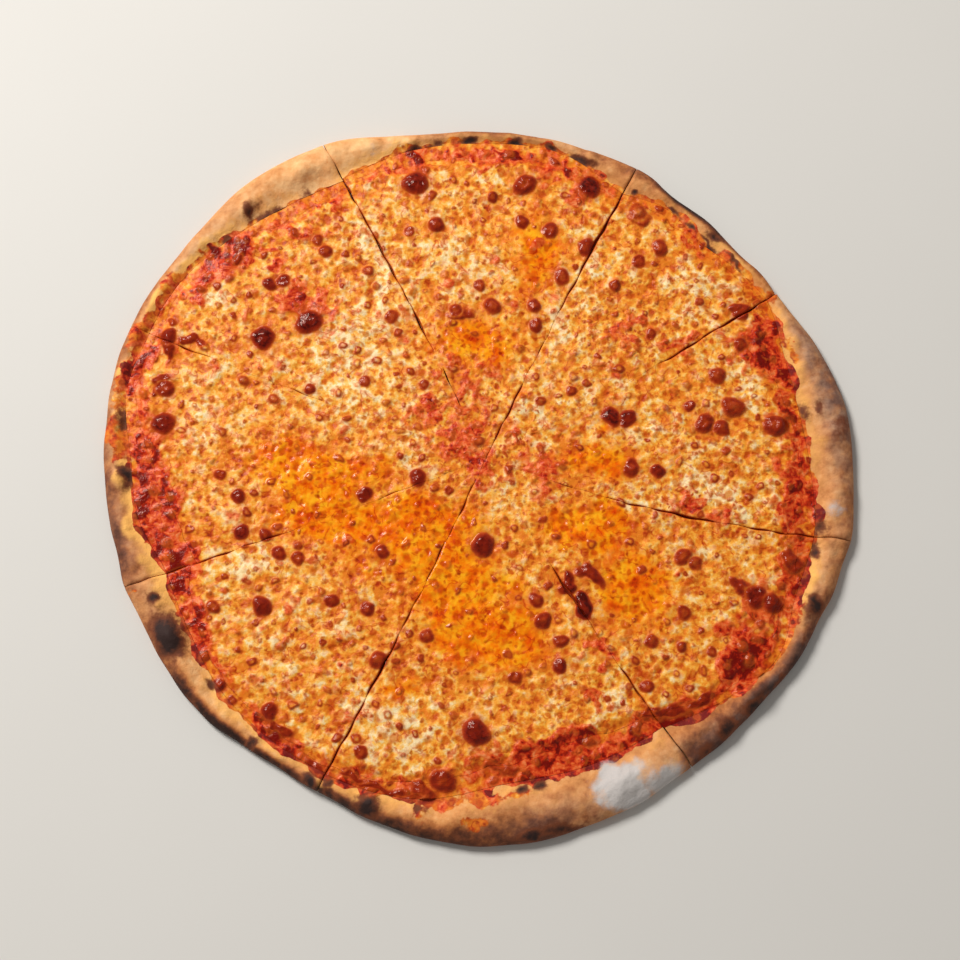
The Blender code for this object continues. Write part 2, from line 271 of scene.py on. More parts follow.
# Blisters that stand out in the baked cheese: x, y, radius in mm, and how dark from 0 to 1
BLISTERS = (
    (-106, 84, 9, 1.0), (-133, 74, 8, 1.0), (-130, 108, 5, 0.95), (-122, 110, 5, 0.9), (-189, 75, 6, 0.9),
    (-190, 42, 6, 0.85), (-190, 21, 8, 0.95), (-97, 129, 5, 0.75), (-102, 136, 4, 0.7), (-104, 42, 4, 0.8),
    (-72, 47, 4, 0.7), (-37, 45, 4, 0.7), (-56, 87, 5, 0.7), (-71, 116, 4, 0.65), (-43, 172, 9, 0.95),
    (-30, 145, 6, 0.85), (-46, 141, 4, 0.7), (-4, 107, 5, 0.7), (-18, 91, 5, 0.75), (4, 94, 6, 0.75),
    (24, 171, 8, 0.85), (63, 170, 8, 1.0), (22, 147, 5, 0.85), (39, 142, 6, 0.85), (4, 163, 4, 0.75),
    (29, 94, 5, 0.8), (30, 82, 5, 0.8), (46, 112, 6, 0.75), (60, 131, 6, 0.85), (92, 122, 5, 0.8),
    (105, 131, 6, 0.75), (77, 107, 5, 0.75), (92, 154, 7, 0.6), (98, 76, 4, 0.75), (50, 41, 4, 0.75),
    (32, 35, 4, 0.65), (74, 25, 7, 1.0), (83, 24, 6, 0.95), (129, 21, 7, 0.85), (139, 18, 6, 0.8),
    (146, 31, 8, 0.75), (171, 20, 8, 0.85), (152, 70, 5, 0.8), (137, 50, 6, 0.75), (85, -6, 6, 0.85),
    (100, -8, 5, 0.9), (120, 32, 4, 0.85), (114, -59, 6, 0.75), (121, -63, 5, 0.7), (95, -108, 5, 0.75),
    (112, -111, 4, 0.75), (129, -114, 4, 0.7), (114, -92, 5, 0.75), (156, -82, 8, 0.95), (165, -86, 7, 0.9),
    (92, -134, 5, 0.75), (-2, -52, 8, 0.95), (-34, -105, 5, 0.75), (-6, -160, 9, 0.95), (-71, -171, 5, 0.8),
    (33, -96, 6, 0.85), (43, -108, 5, 0.8), (42, -122, 5, 0.9), (29, -84, 5, 0.8), (17, -129, 5, 0.75),
    (-24, -187, 8, 0.85), (-60, -56, 5, 0.85), (-129, -88, 7, 0.9), (-89, -85, 5, 0.85),
    (-68, -89, 5, 0.85), (-120, -57, 5, 0.85), (-109, -60, 5, 0.75), (-61, -119, 6, 0.75),
    (-123, -148, 6, 0.9), (-153, -134, 5, 0.85), (-125, 36, 4, 0.6), (-144, 47, 4, 0.6),
    (-156, -10, 4, 0.8), (-145, -23, 5, 0.9), (-142, -44, 5, 0.95), (-128, -46, 5, 0.85),
    (-40, -12, 6, 0.9), (-71, -22, 5, 0.9), (-177, -100, 5, 0.95), (-157, -88, 5, 0.7),
)

# Long folds of browned cheese: x, y, half length, half width in mm, turn in degrees, how dark
FOLDS = (
    (-191, 45, 8, 3.5, 62, 0.9), (-189, 70, 7, 4, -60, 0.85), (-62, -189, 20, 2.6, -18, 0.85),
    (-74, -184, 10, 2.2, -22, 0.8), (-14, 89, 10, 4, 8, 0.75), (-34, -193, 9, 7, -20, 0.75),
    (92, 153, 9, 5, -28, 0.7), (-45, -197, 13, 2.2, 10, 0.7), (-118, -158, 9, 3, -40, 0.8),
    (-95, -180, 9, 3.5, -42, 0.8), (96, -150, 8, 3, 20, 0.8), (150, -76, 10, 6, -10, 0.85),
    (-152, 122, 5, 3, 40, 0.8), (150, 92, 8, 4, 30, 0.8), (-176, 72, 8, 2.6, -25, 0.8),
    (8, -180, 10, 3, -6, 0.65), (178, -60, 5, 8, 0, 0.75), (106, -148, 9, 4, 15, 0.9),
    (124, -141, 8, 4, 45, 0.9), (61, -69, 9, 5.2, -8, 0.9), (48, -75, 6, 4, 60, 1.0),
    (55, -88, 9, 5, -70, 1.1),
)

# Places with a look of their own: x, y, half width, half height in mm, turn in degrees, strength
SAUCE_ZONES = (
    (-155, 125, 12, 9, 45, 1.5), (-168, 106, 8, 6, 45, 1.2), (-130, 126, 13, 4, -10, 0.7),
    (-115, 139, 9, 5, 0, 0.6), (-112, 98, 17, 7, 0, 0.9), (-185, 70, 8, 6, -30, 0.6),
    (-91, 161, 6, 5, 0, 0.6), (-206, 52, 8, 12, 0, 0.9), (-192, 11, 8, 12, 0, 0.6),
    (-194, -22, 11, 28, 10, 1.0), (-184, -55, 14, 10, -30, 1.4), (-175, -71, 9, 6, 20, 1.4),
    (-170, -90, 6, 10, 0, 0.6), (-165, -112, 6, 12, 20, 0.6), (-112, -174, 23, 7, -38, 0.6),
    (-50, -193, 32, 6, -12, 0.7), (38, -174, 36, 11, 8, 1.05), (64, -139, 5, 6, 0, 0.6),
    (67, -110, 5, 8, 30, 0.8), (146, -115, 9, 15, -15, 1.6), (111, -154, 16, 7, 25, 1.6),
    (95, -168, 18, 6, 32, 1.4), (66, -181, 24, 5, 14, 1.2), (180, -72, 6, 14, 0, 1.3),
    (160, -84, 12, 8, 0, 1.1), (165, 67, 9, 16, 10, 1.15), (180, 20, 4, 24, 0, 0.7),
    (181, -22, 8, 23, 0, 1.0), (121, -30, 17, 4, -15, 0.5), (113, 70, 12, 6, 20, 0.6),
    (90, 80, 18, 6, 0, 0.4), (-42, 182, 9, 6, 0, 0.8), (-2, 188, 24, 5, 0, 0.45),
    (41, 178, 13, 8, -20, 0.6), (61, 165, 13, 7, 0, 0.5), (-14, 16, 20, 22, 0, 0.48),
    (-6, 1, 9, 8, 0, 0.85), (29, -8, 14, 13, 0, 0.46), (-9, 48, 22, 13, 0, 0.36),
    (-32, 28, 14, 10, 0, 0.36), (0, -14, 10, 12, 0, 0.36),
)
OIL_ZONES = (
    (-97, -11, 35, 17, -10, 0.9), (-83, -37, 35, 13, -15, 1.0), (-39, -49, 35, 24, -20, 0.9),
    (-18, -73, 26, 24, 0, 0.9), (2, -103, 29, 19, 0, 1.0), (61, -40, 21, 12, -10, 1.0),
    (84, -76, 21, 16, -20, 0.9), (32, 126, 12, 27, 0, 0.6), (-4, 72, 26, 15, 0, 0.6),
    (67, -1, 21, 12, 0, 0.6), (-48, -133, 11, 7, 0, 0.5), (-109, 2, 23, 12, 0, 0.6),
)
PALE_ZONES = (
    (-80, 60, 25, 30, 0, 1.0), (-62, 111, 13, 27, 25, 0.9), (48, 96, 7, 42, -27, 1.0),
    (126, 102, 19, 13, 0, 0.7), (126, -19, 35, 11, -8, 1.0), (-138, -61, 18, 8, 20, 0.9),
    (-45, -157, 22, 20, 0, 0.9), (-159, 96, 15, 8, 30, 0.7), (-33, 132, 21, 24, 0, 0.5),
    (75, -138, 6, 11, 30, 0.8), (-165, 23, 15, 16, 0, 0.5), (96, 17, 18, 10, 0, 0.4),
    (-74, -139, 14, 14, 0, 0.5), (149, 36, 12, 10, 0, 0.6), (90, -25, 18, 6, -15, 0.8),
    (26, 32, 10, 12, 0, 0.9), (-45, -8, 9, 7, 0, 0.9), (9, -20, 8, 7, 0, 0.9), (34, 10, 9, 7, 0, 0.7),
)
FLECK_ZONES = (
    (-5, 15, 55, 48, 0, 1.0), (88, 85, 40, 30, 20, 0.9), (130, 20, 45, 40, 0, 0.7),
    (120, -30, 45, 18, -12, 0.9), (-60, -5, 40, 25, 0, 0.4), (60, -150, 40, 25, 0, 0.6),
    (0, 60, 50, 20, 0, 0.6), (-110, 20, 35, 20, 0, 0.5),
)

# Spots on the rim: degrees, mm from the middle, half length along the rim and half width in mm, strength
CHAR_SPOTS = (
    (173.1, 214, 6.5, 4.5, 0.85), (157.8, 211.6, 3, 2.5, 0.4), (151.8, 211.6, 3.5, 3, 0.45),
    (139.2, 210, 5, 3, 0.6), (137, 199.4, 6, 3.5, 0.9), (132.9, 208, 5, 5, 0.75), (130, 198, 6, 4.5, 0.8),
    (123.6, 196.5, 5, 4, 0.45), (103.2, 196.5, 4.5, 3.5, 0.9), (99.3, 199, 5, 2.5, 0.6),
    (93, 200, 5, 2.5, 1.0), (84, 198.5, 6, 2.5, 1.0), (78, 198, 4, 2, 0.8), (72, 197, 8, 3, 0.9),
    (61.2, 189, 2, 2, 0.9), (44.4, 195.5, 4, 3.5, 0.9), (54, 190.5, 6, 1.2, 0.7), (49, 188.5, 6, 1.2, 0.8),
    (44, 189, 6, 1.2, 0.8), (39, 191.5, 6, 1.2, 0.7), (9, 199.4, 4, 3, 0.6), (4.8, 210, 7, 5, 0.45),
    (9, 191, 4, 3, 0.5), (-11.5, 198.5, 6, 3, 0.5), (-15.9, 197.5, 4, 3.5, 0.8), (-25.5, 208, 6, 4.5, 1.0),
    (-31, 212, 2.5, 2, 0.5), (-43.2, 210, 9, 4.5, 1.0), (-49.2, 209, 6, 5, 0.9), (-54, 211, 5, 4, 0.6),
    (-38, 211.5, 7, 2.5, 0.6), (-66.9, 215, 4, 1.4, 0.6), (-79, 218, 12, 3.5, 0.8),
    (-83.5, 219.5, 8, 3, 0.9), (-81, 193, 3, 3, 0.85), (-84.6, 192.5, 3.5, 3, 0.85),
    (-108.6, 213, 7, 6, 1.0), (-114, 215, 4, 3, 0.9), (-115.2, 210, 3, 3, 0.8), (-118.8, 213, 6, 4, 1.0),
    (-100.2, 206, 5, 3, 0.5), (-128.4, 214, 2.5, 4, 0.9), (-139.2, 206, 5, 2.5, 0.7),
    (-150, 211, 11, 9, 1.25), (-156.6, 208, 4.5, 3.5, 0.9), (-176.4, 224, 7, 1.5, 0.7),
    (-177, 213, 7, 4, 0.85), (-179.4, 206, 2.5, 2.5, 0.9),
)
FLOUR_SPOTS = (
    (-68, 207, 14, 10, 1.0), (-69.5, 200, 9, 7, 1.0), (-66.5, 201, 9, 7, 1.0), (-67, 213, 12, 6, 0.9),
    (-8.4, 205, 8, 7, 0.42), (-61.5, 212, 12, 8, 0.72), (110, 206, 6, 4, 0.3),
)
STAIN_SPOTS = (
    (-91.8, 210, 7, 4, 1.0), (-100.2, 206, 5, 5, 0.8), (-96, 203, 6, 3, 0.8), (-159.7, 220, 2, 6, 0.6),
    (116.7, 209, 1.4, 8, 0.5), (30.3, 200, 5, 5, 0.8), (-86, 196, 12, 4, 0.7), (-28, 202, 6, 3, 0.5),
    (176, 213, 14, 8, 1.0), (168, 215, 18, 9, 1.1), (160, 215, 18, 9, 1.1), (152, 213, 18, 8, 1.1),
    (145, 209, 14, 6, 1.0), (139, 201, 8, 4, 0.7), (-90, 196, 14, 5, 0.9), (-97, 199, 12, 6, 0.9),
    (-168, 204, 10, 3, 0.6), (20, 192, 14, 3, 0.6),
)

# How the rim baked: degrees, browning at its foot, halfway and outside, greyness, and gold at its foot. The
# outside's browning is partly painted shade where the rim turns down away from the light
RIM_TONES = (
    (-180, 0.3, 0.38, 0.6, 0.4, 0.9), (-175, 0.38, 0.5, 0.78, 0.4, 0.8),
    (-165, 0.42, 0.52, 0.74, 0.45, 0.7), (-158, 0.3, 0.36, 0.55, 0.25, 0.7),
    (-150, 0.35, 0.38, 0.5, 0.3, 0.3), (-145, 0.35, 0.35, 0.8, 0.1, 0.3), (-138, 0.22, 0.22, 1.0, 0.0, 0.6),
    (-125, 0.28, 0.3, 1.0, 0.0, 0.5), (-116, 0.4, 0.5, 0.95, 0.1, 0.4), (-108, 0.3, 0.45, 0.95, 0.1, 0.5),
    (-98, 0.25, 0.35, 0.9, 0.0, 0.4), (-90, 0.3, 0.4, 0.75, 0.1, 0.4), (-82, 0.35, 0.45, 0.85, 0.5, 0.4),
    (-74, 0.35, 0.35, 0.5, 0.4, 0.0), (-66, 0.3, 0.25, 0.3, 0.5, 0.0), (-59, 0.3, 0.3, 0.35, 0.3, 0.3),
    (-56, 0.4, 0.5, 0.75, 0.6, 0.1), (-50, 0.5, 0.62, 0.88, 0.8, 0.0), (-42, 0.54, 0.76, 0.96, 1.0, 0.0),
    (-34, 0.48, 0.68, 0.9, 0.9, 0.1), (-28, 0.4, 0.52, 0.74, 0.5, 0.4), (-20, 0.3, 0.32, 0.5, 0.3, 0.7),
    (-12, 0.38, 0.4, 0.48, 0.3, 0.1), (-5, 0.38, 0.38, 0.46, 0.45, 0.2), (3, 0.38, 0.42, 0.52, 0.7, 0.4),
    (10, 0.35, 0.42, 0.54, 0.9, 0.4), (20, 0.35, 0.38, 0.46, 0.8, 0.4), (28, 0.3, 0.25, 0.3, 0.3, 0.4),
    (32, 0.5, 0.5, 0.6, 0.0, 0.2), (38, 0.25, 0.3, 0.55, 0.0, 0.4), (44, 0.25, 0.35, 0.85, 0.1, 0.4),
    (52, 0.3, 0.55, 1.1, 0.1, 0.3), (60, 0.35, 0.45, 0.8, 0.1, 0.2), (68, 0.4, 0.45, 0.55, 0.15, 0.2),
    (75, 0.3, 0.25, 0.25, 0.3, 0.2), (80, 0.5, 0.5, 0.55, 0.2, 0.3), (90, 0.5, 0.5, 0.6, 0.1, 0.4),
    (98, 0.45, 0.45, 0.55, 0.3, 0.3), (106, 0.15, 0.12, 0.2, 0.05, 0.6), (112, 0.16, 0.14, 0.22, 0.0, 0.5),
    (120, 0.17, 0.16, 0.22, 0.05, 0.2), (130, 0.2, 0.18, 0.3, 0.1, 0.3), (138, 0.28, 0.25, 0.35, 0.3, 0.5),
    (145, 0.22, 0.2, 0.35, 0.25, 0.9), (152, 0.28, 0.28, 0.55, 0.2, 1.0),
    (159, 0.35, 0.35, 0.55, 0.25, 1.0), (165, 0.3, 0.3, 0.45, 0.3, 1.1), (173, 0.3, 0.32, 0.5, 0.35, 1.0),
    (180, 0.3, 0.38, 0.6, 0.4, 0.9),
)

# Camera: above the front edge, in metres and degrees
CAMERA_HEIGHT_ANGLE = 77.0
CAMERA_AWAY = 1.05
CAMERA_LENS = 67.1
CAMERA_SENSOR = 36.0
CAMERA_TARGET = Vector((0.0012, -0.0046, 0.005))

# Floor, in metres
FLOOR_WIDTH = 8.0
FLOOR_LEVEL = -0.0002


def smooth_step(x):
    """0 below 0, 1 above 1, and an even curve between."""
    x = np.clip(x, 0.0, 1.0)
    return x * x * (3.0 - 2.0 * x)


def band(x, low, high):
    """How far x has come from low to high, eased."""
    return smooth_step((x - low) / (high - low))


def along(values, t):
    """Reads a row of evenly spaced values at t from 0 to 1, on a smooth curve through them."""
    row = np.asarray(values, float)
    spans = len(row) - 1
    k = np.clip((t * spans).astype(int), 0, spans - 1)
    part = t * spans - k
    before = row[np.maximum(k - 1, 0)]
    after = row[np.minimum(k + 2, spans)]
    slope_a = (row[k + 1] - before) / 2.0
    slope_b = (after - row[k]) / 2.0
    square = part * part
    cube = square * part
    return (
        (2 * cube - 3 * square + 1) * row[k]
        + (cube - 2 * square + part) * slope_a
        + (3 * square - 2 * cube) * row[k + 1]
        + (cube - square) * slope_b
    )


def unevenness(x, y, size, layer):
    """The solids' own smooth noise, from about -1 to 1, with lumps of the given size in mm."""
    depth = 7.3 * layer
    values = [noise.noise(Vector((a, b, depth))) for a, b in zip((x / size).tolist(), (y / size).tolist())]
    return np.array(values) * NOISE_GAIN


# Slices and cuts


def cut_angle(cut, radius):
    """The angle in degrees at which a cut's middle line passes a circle of this radius."""
    share = radius / cut.reach
    stray = sum(STRAY * np.sin(radius / length + cut.angle) for length in STRAY_LENGTHS)
    bow = 4.0 * cut.bow * (1.0 - share) / cut.reach
    return cut.angle + np.degrees(bow + stray / np.maximum(radius, STRAY_FROM))


def cheese_gap(cut, radius):
    """The gap in mm between the cheese of two slices at this radius, closed and open by turns."""
    share = np.clip(radius / cut.reach, 0.0, 1.0)
    torn = cut.hole * np.exp(-(((share - cut.hole_at) / HOLE_SPREAD) ** 2))
    waves = sum(size * np.sin(radius / length + shift * cut.angle) for size, length, shift in GAP_WAVES)
    return np.maximum((along(cut.gaps, share) + torn) * (GAP_MEAN + waves), SHUT_GAP)


def sauce_gap(cut, radius):
    """The gap in mm between the sauce of two slices."""
    return np.minimum(cheese_gap(cut, radius), SAUCE_OPEN)


def crust_gap(cut, radius):
    """The gap in mm between the crusts of two slices."""
    return BED_GAP + (cut.rim - BED_GAP) * band(radius / cut.reach, *CRUST_PARTS)


def slice_cuts(number):
    """The two cuts that bound a slice, the second one's angle below the first one's."""
    first = CUTS[number]
    second = CUTS[(number + 1) % len(CUTS)]
    if second.angle > first.angle:
        second = second._replace(angle=second.angle - 360.0)
    return first, second


def tip_radius(number, gap):
    """How far from the middle of the cuts a layer's tip is."""
    first, second = slice_cuts(number)
    span = math.radians(cut_angle(first, 0.0) - cut_angle(second, 0.0))
    start = np.zeros(1)
    widest = max(gap(first, start)[0], gap(second, start)[0])
    return widest / 2.0 / math.sin(span / 2.0)


def slice_angle(number, radius, t, gap):
    """The angle in radians at this radius, a share t of the way clockwise across a layer, and its span."""
    first, second = slice_cuts(number)
    near = np.minimum(1.0, gap(first, radius) / 2.0 / radius)
    far = np.minimum(1.0, gap(second, radius) / 2.0 / radius)
    start = np.radians(cut_angle(first, radius)) - np.arcsin(near)
    end = np.radians(cut_angle(second, radius)) + np.arcsin(far)
    return start + (end - start) * t, start - end


def place(number, radius, t, gap):
    """The point in mm at this radius, a share t of the way clockwise across a layer."""
    angle, _ = slice_angle(number, radius, t, gap)
    return radius * np.cos(angle), radius * np.sin(angle)


def rim_edge(number, t):
    """Radius of the rim's outer edge, with a slight wobble."""
    radius = along(SLICES[number].outer, t)
    x, y = place(number, radius, t, crust_gap)
    return radius + RIM_WOBBLE * unevenness(x, y, RIM_WOBBLE_SIZE, 1)


def rim_foot(number, t):
    """Radius at which the crust starts to rise to the rim."""
    return along(SLICES[number].inner, t)


def cheese_edge(number, t):
    """Radius at which the cheese ends, ragged."""
    radius = rim_foot(number, t) - along(SLICES[number].bare, t)
    x, y = place(number, radius, t, cheese_gap)
    return radius + CHEESE_RAGGED * (unevenness(x, y, CHEESE_RAGGED_SIZE, 2) - CHEESE_RAGGED_BACK)


def rim_height(q, width):
    """Height in mm of the rim's top face, q from 0 at its foot to 1 at its outer edge."""
    crest = RIM_LOW + RIM_RISE * width
    rising = RIM_START + (crest - RIM_START) * smooth_step(q / RIM_CREST)
    outward = np.clip((q - RIM_CREST) / (1.0 - RIM_CREST), 0.0, 1.0)
    falling = RIM_EDGE + (crest - RIM_EDGE) * np.sqrt(1.0 - outward * outward)
    return np.where(q <= 0.0, BED, np.where(q < RIM_CREST, rising, falling))


def cut_drop(number, radius, t, span):
    """How far in mm the toppings round down beside an open cut, how near it they are and how open it is."""
    first, second = slice_cuts(number)
    gap = np.where(t < 0.5, cheese_gap(first, radius), cheese_gap(second, radius))
    away = np.minimum(t, 1.0 - t) * span * radius
    turned = 1.0 - np.clip(away / LIP_ROUND, 0.0, 1.0)
    opened = band(gap, BARELY_OPEN, WIDE_OPEN)
    return LIP_DROP * opened * (1.0 - np.sqrt(1.0 - turned * turned)), away, opened


# Maps over the whole pizza

MAP_LINE = np.linspace(-MAP_HALF, MAP_HALF, MAP_SIDE)


def soft_noise(rng, size):
    """A map of even noise with lumps of about this size in mm, spread 1."""
    fx = np.fft.rfftfreq(MAP_SIDE, MAP_PITCH)[None, :]
    fy = np.fft.fftfreq(MAP_SIDE, MAP_PITCH)[:, None]
    keep = np.exp(-((fx * fx + fy * fy) * size * size) * 4.0)
    shape = (MAP_SIDE, MAP_SIDE)
    lumps = np.fft.irfft2(np.fft.rfft2(rng.standard_normal(shape)) * keep, shape)
    return lumps / lumps.std()


def relief(amounts, noises):
    """Noises joined, each times its own amount."""
    return sum(amount * noise_map for amount, noise_map in zip(amounts, noises))


def read_map(field, x, y):
    """A map's values at some points, in mm, even between cells."""
    u = np.clip((x + MAP_HALF) / MAP_PITCH, 0, MAP_SIDE - 1.001)
    v = np.clip((y + MAP_HALF) / MAP_PITCH, 0, MAP_SIDE - 1.001)
    i = u.astype(int)
    j = v.astype(int)
    u -= i
    v -= j
    low = field[j, i] * (1 - u) + field[j, i + 1] * u
    high = field[j + 1, i] * (1 - u) + field[j + 1, i + 1] * u
    return low * (1 - v) + high * v


def window(x, y, reach):
    """The part of the maps within reach of a point: its slices, and x and y from the point in mm."""
    i0 = max(int((x - reach + MAP_HALF) / MAP_PITCH), 0)
    i1 = min(int((x + reach + MAP_HALF) / MAP_PITCH) + 2, MAP_SIDE)
    j0 = max(int((y - reach + MAP_HALF) / MAP_PITCH), 0)
    j1 = min(int((y + reach + MAP_HALF) / MAP_PITCH) + 2, MAP_SIDE)
    dx = MAP_LINE[i0:i1][None, :] - x
    dy = MAP_LINE[j0:j1][:, None] - y
    return (slice(j0, j1), slice(i0, i1)), dx, dy


def spread_points(rng, spacing, tries):
    """Random points over the pizza, none nearer to another than the spacing that is asked at its place."""
    side = int(2 * MAP_HALF / SCATTER_CELL) + 1
    taken = [[[] for _ in range(side)] for _ in range(side)]
    points = []
    for x, y in rng.uniform(-MAP_HALF, MAP_HALF, (tries, 2)):
        if math.hypot(x, y) > SCATTER_REACH:
            continue
        gap = spacing(x, y)
        i, j = int((x + MAP_HALF) / SCATTER_CELL), int((y + MAP_HALF) / SCATTER_CELL)
        n = int(gap / SCATTER_CELL) + 1
        near = (
            p
            for row in taken[max(j - n, 0) : j + n + 1]
            for spot in row[max(i - n, 0) : i + n + 1]
            for p in spot
        )
        if all((x - px) ** 2 + (y - py) ** 2 > gap * gap for px, py in near):
            taken[j][i].append((x, y))
            points.append((x, y))
    return points


def zone_map(zones, bend_x, bend_y):
    """Soft ellipses joined, their edges bent by noise."""
    total = np.zeros((MAP_SIDE, MAP_SIDE))
    for x, y, half_x, half_y, turn, strength in zones:
        reach = 2.6 * max(half_x, half_y) + 6.0
        part, dx, dy = window(x, y, reach)
        dx = dx + bend_x[part]
        dy = dy + bend_y[part]
        c, s = math.cos(math.radians(turn)), math.sin(math.radians(turn))
        away = ((dx * c + dy * s) / half_x) ** 2 + ((dy * c - dx * s) / half_y) ** 2
        total[part] = np.maximum(total[part], strength * np.exp(-away * 0.8))
    return total


def around_rim(spots, bend_x, bend_y):
    """Spots given by their angle and radius, as a map."""
    zones = []
    for degrees, radius, length, width, strength in spots:
        a = math.radians(degrees)
        zones.append((radius * math.cos(a), radius * math.sin(a), width, length, degrees, strength))
    return zone_map(zones, bend_x, bend_y)


def outline_share(dx, dy, half_long, half_wide, turn, wobble):
    """How far out a point is in an uneven oval, 1 on its outline."""
    c, s = math.cos(turn), math.sin(turn)
    u, v = (dx * c + dy * s) / half_long, (dy * c - dx * s) / half_wide
    angle = np.arctan2(v, u)
    uneven = 1.0
    for lobes, (size, phase) in enumerate(wobble, start=2):
        uneven = uneven + size * np.cos(lobes * angle + phase)
    return np.hypot(u, v) / uneven


def random_wobble(rng, size):
    """Three waves round an outline."""
    return [(size * share, rng.uniform(0.0, math.tau)) for share in (1.0, 0.7, 0.45)]


def add_blister(maps, rng, x, y, half_long, half_wide, turn, ripe, ring, bend, wobble):
    """A bubble of baked cheese: a dome, darkest near its edge, which is partly painted shade where its sides
    turn from the light. Ring is how much lighter its middle is, partly a painted highlight on its top.
    """
    part, dx, dy = window(x, y, half_long * 2.4)
    dx = dx + bend * maps["bend_x"][part]
    dy = dy + bend * maps["bend_y"][part]
    q = outline_share(dx, dy, half_long, half_wide, turn, random_wobble(rng, wobble))
    rise = half_wide * rng.uniform(*BLISTER_RISE)
    dome = rise * np.clip(1.0 - q * q, 0.0, 1.0) ** 0.8
    maps["height"][part] = np.maximum(maps["height"][part], dome)
    edge = 1.0 - band(q, 0.55, 1.40)
    # Darker towards the edge and lighter in the middle: partly the blister's own browning, partly painted
    # shade on its sides and a painted highlight on its top
    tone = ripe * (1.0 - ring * (1.0 - band(q, 0.20, 0.75)))
    maps["brown"][part] = np.maximum(maps["brown"][part] * (1.0 - edge), tone * edge)
    halo = 0.34 * ripe * (1.0 - band(q, 0.9, 2.1))
    maps["brown"][part] = np.maximum(maps["brown"][part], halo)


def add_dimple(maps, rng, x, y, radius, strength):
    """A shallow pit where the cheese is thin and the orange below shows."""
    part, dx, dy = window(x, y, radius * 1.8)
    stretch = rng.uniform(0.85, 1.2)
    turn = rng.uniform(0.0, math.pi)
    q = outline_share(dx, dy, radius * stretch, radius / stretch, turn, random_wobble(rng, 0.16))
    shade = strength * (1.0 - band(q, 0.10, 1.50))
    maps["dimple"][part] = np.maximum(maps["dimple"][part], shade)
    maps["height"][part] -= DIMPLE_DEPTH * shade


def scatter_dimples(maps, rng):
    """Pits all over the cheese."""
    for x, y in spread_points(rng, lambda x, y: DIMPLE_SPACING, DIMPLE_TRIES):
        size = rng.uniform(0.0, 1.0)
        add_dimple(maps, rng, x, y, DIMPLE_RADIUS + DIMPLE_MORE * size**1.6, rng.uniform(0.3, 1.0))


def scatter_blisters(maps, rng, oil):
    """Small blisters between the listed ones, fewer where there is oil."""

    def spacing(x, y):
        for bx, by, r, _ in BLISTERS:
            if (x - bx) ** 2 + (y - by) ** 2 < (r + BLISTER_CLEAR) ** 2:
                return TOO_FAR
        return BLISTER_SPACING + BLISTER_OILY_MORE * read_map(oil, np.array([x]), np.array([y]))[0]

    for x, y in spread_points(rng, spacing, BLISTER_TRIES):
        size = rng.uniform(0.0, 1.0)
        radius = BLISTER_RADIUS + BLISTER_MORE * size**2.0
        stretch = rng.uniform(0.88, 1.18)
        ripe = rng.uniform(0.26, 0.62) + 0.10 * size
        # Ring: how much lighter the middle is, partly a painted highlight on the blister's top
        ring = rng.uniform(0.1, 0.7)
        turn = rng.uniform(0.0, math.pi)
        add_blister(maps, rng, x, y, radius * stretch, radius / stretch, turn, ripe, ring, 0.15, 0.10)


def add_listed_blisters(maps, rng):
    """The folds and the blisters that stand out."""
    for x, y, half_long, half_wide, turn, ripe in FOLDS:
        add_blister(maps, rng, x, y, half_long, half_wide, math.radians(turn), ripe, 0.2, 0.45, 0.10)
    for x, y, radius, ripe in BLISTERS:
        stretch = rng.uniform(0.95, 1.07)
        size = 0.88 * radius
        # Ring: how much lighter the middle is, partly a painted highlight on the blister's top
        ring = 0.30 if ripe < BURNT else 0.08
        turn = rng.uniform(0.0, math.pi)
        add_blister(maps, rng, x, y, size * stretch, size / stretch, turn, ripe, ring, 0.10, 0.06)


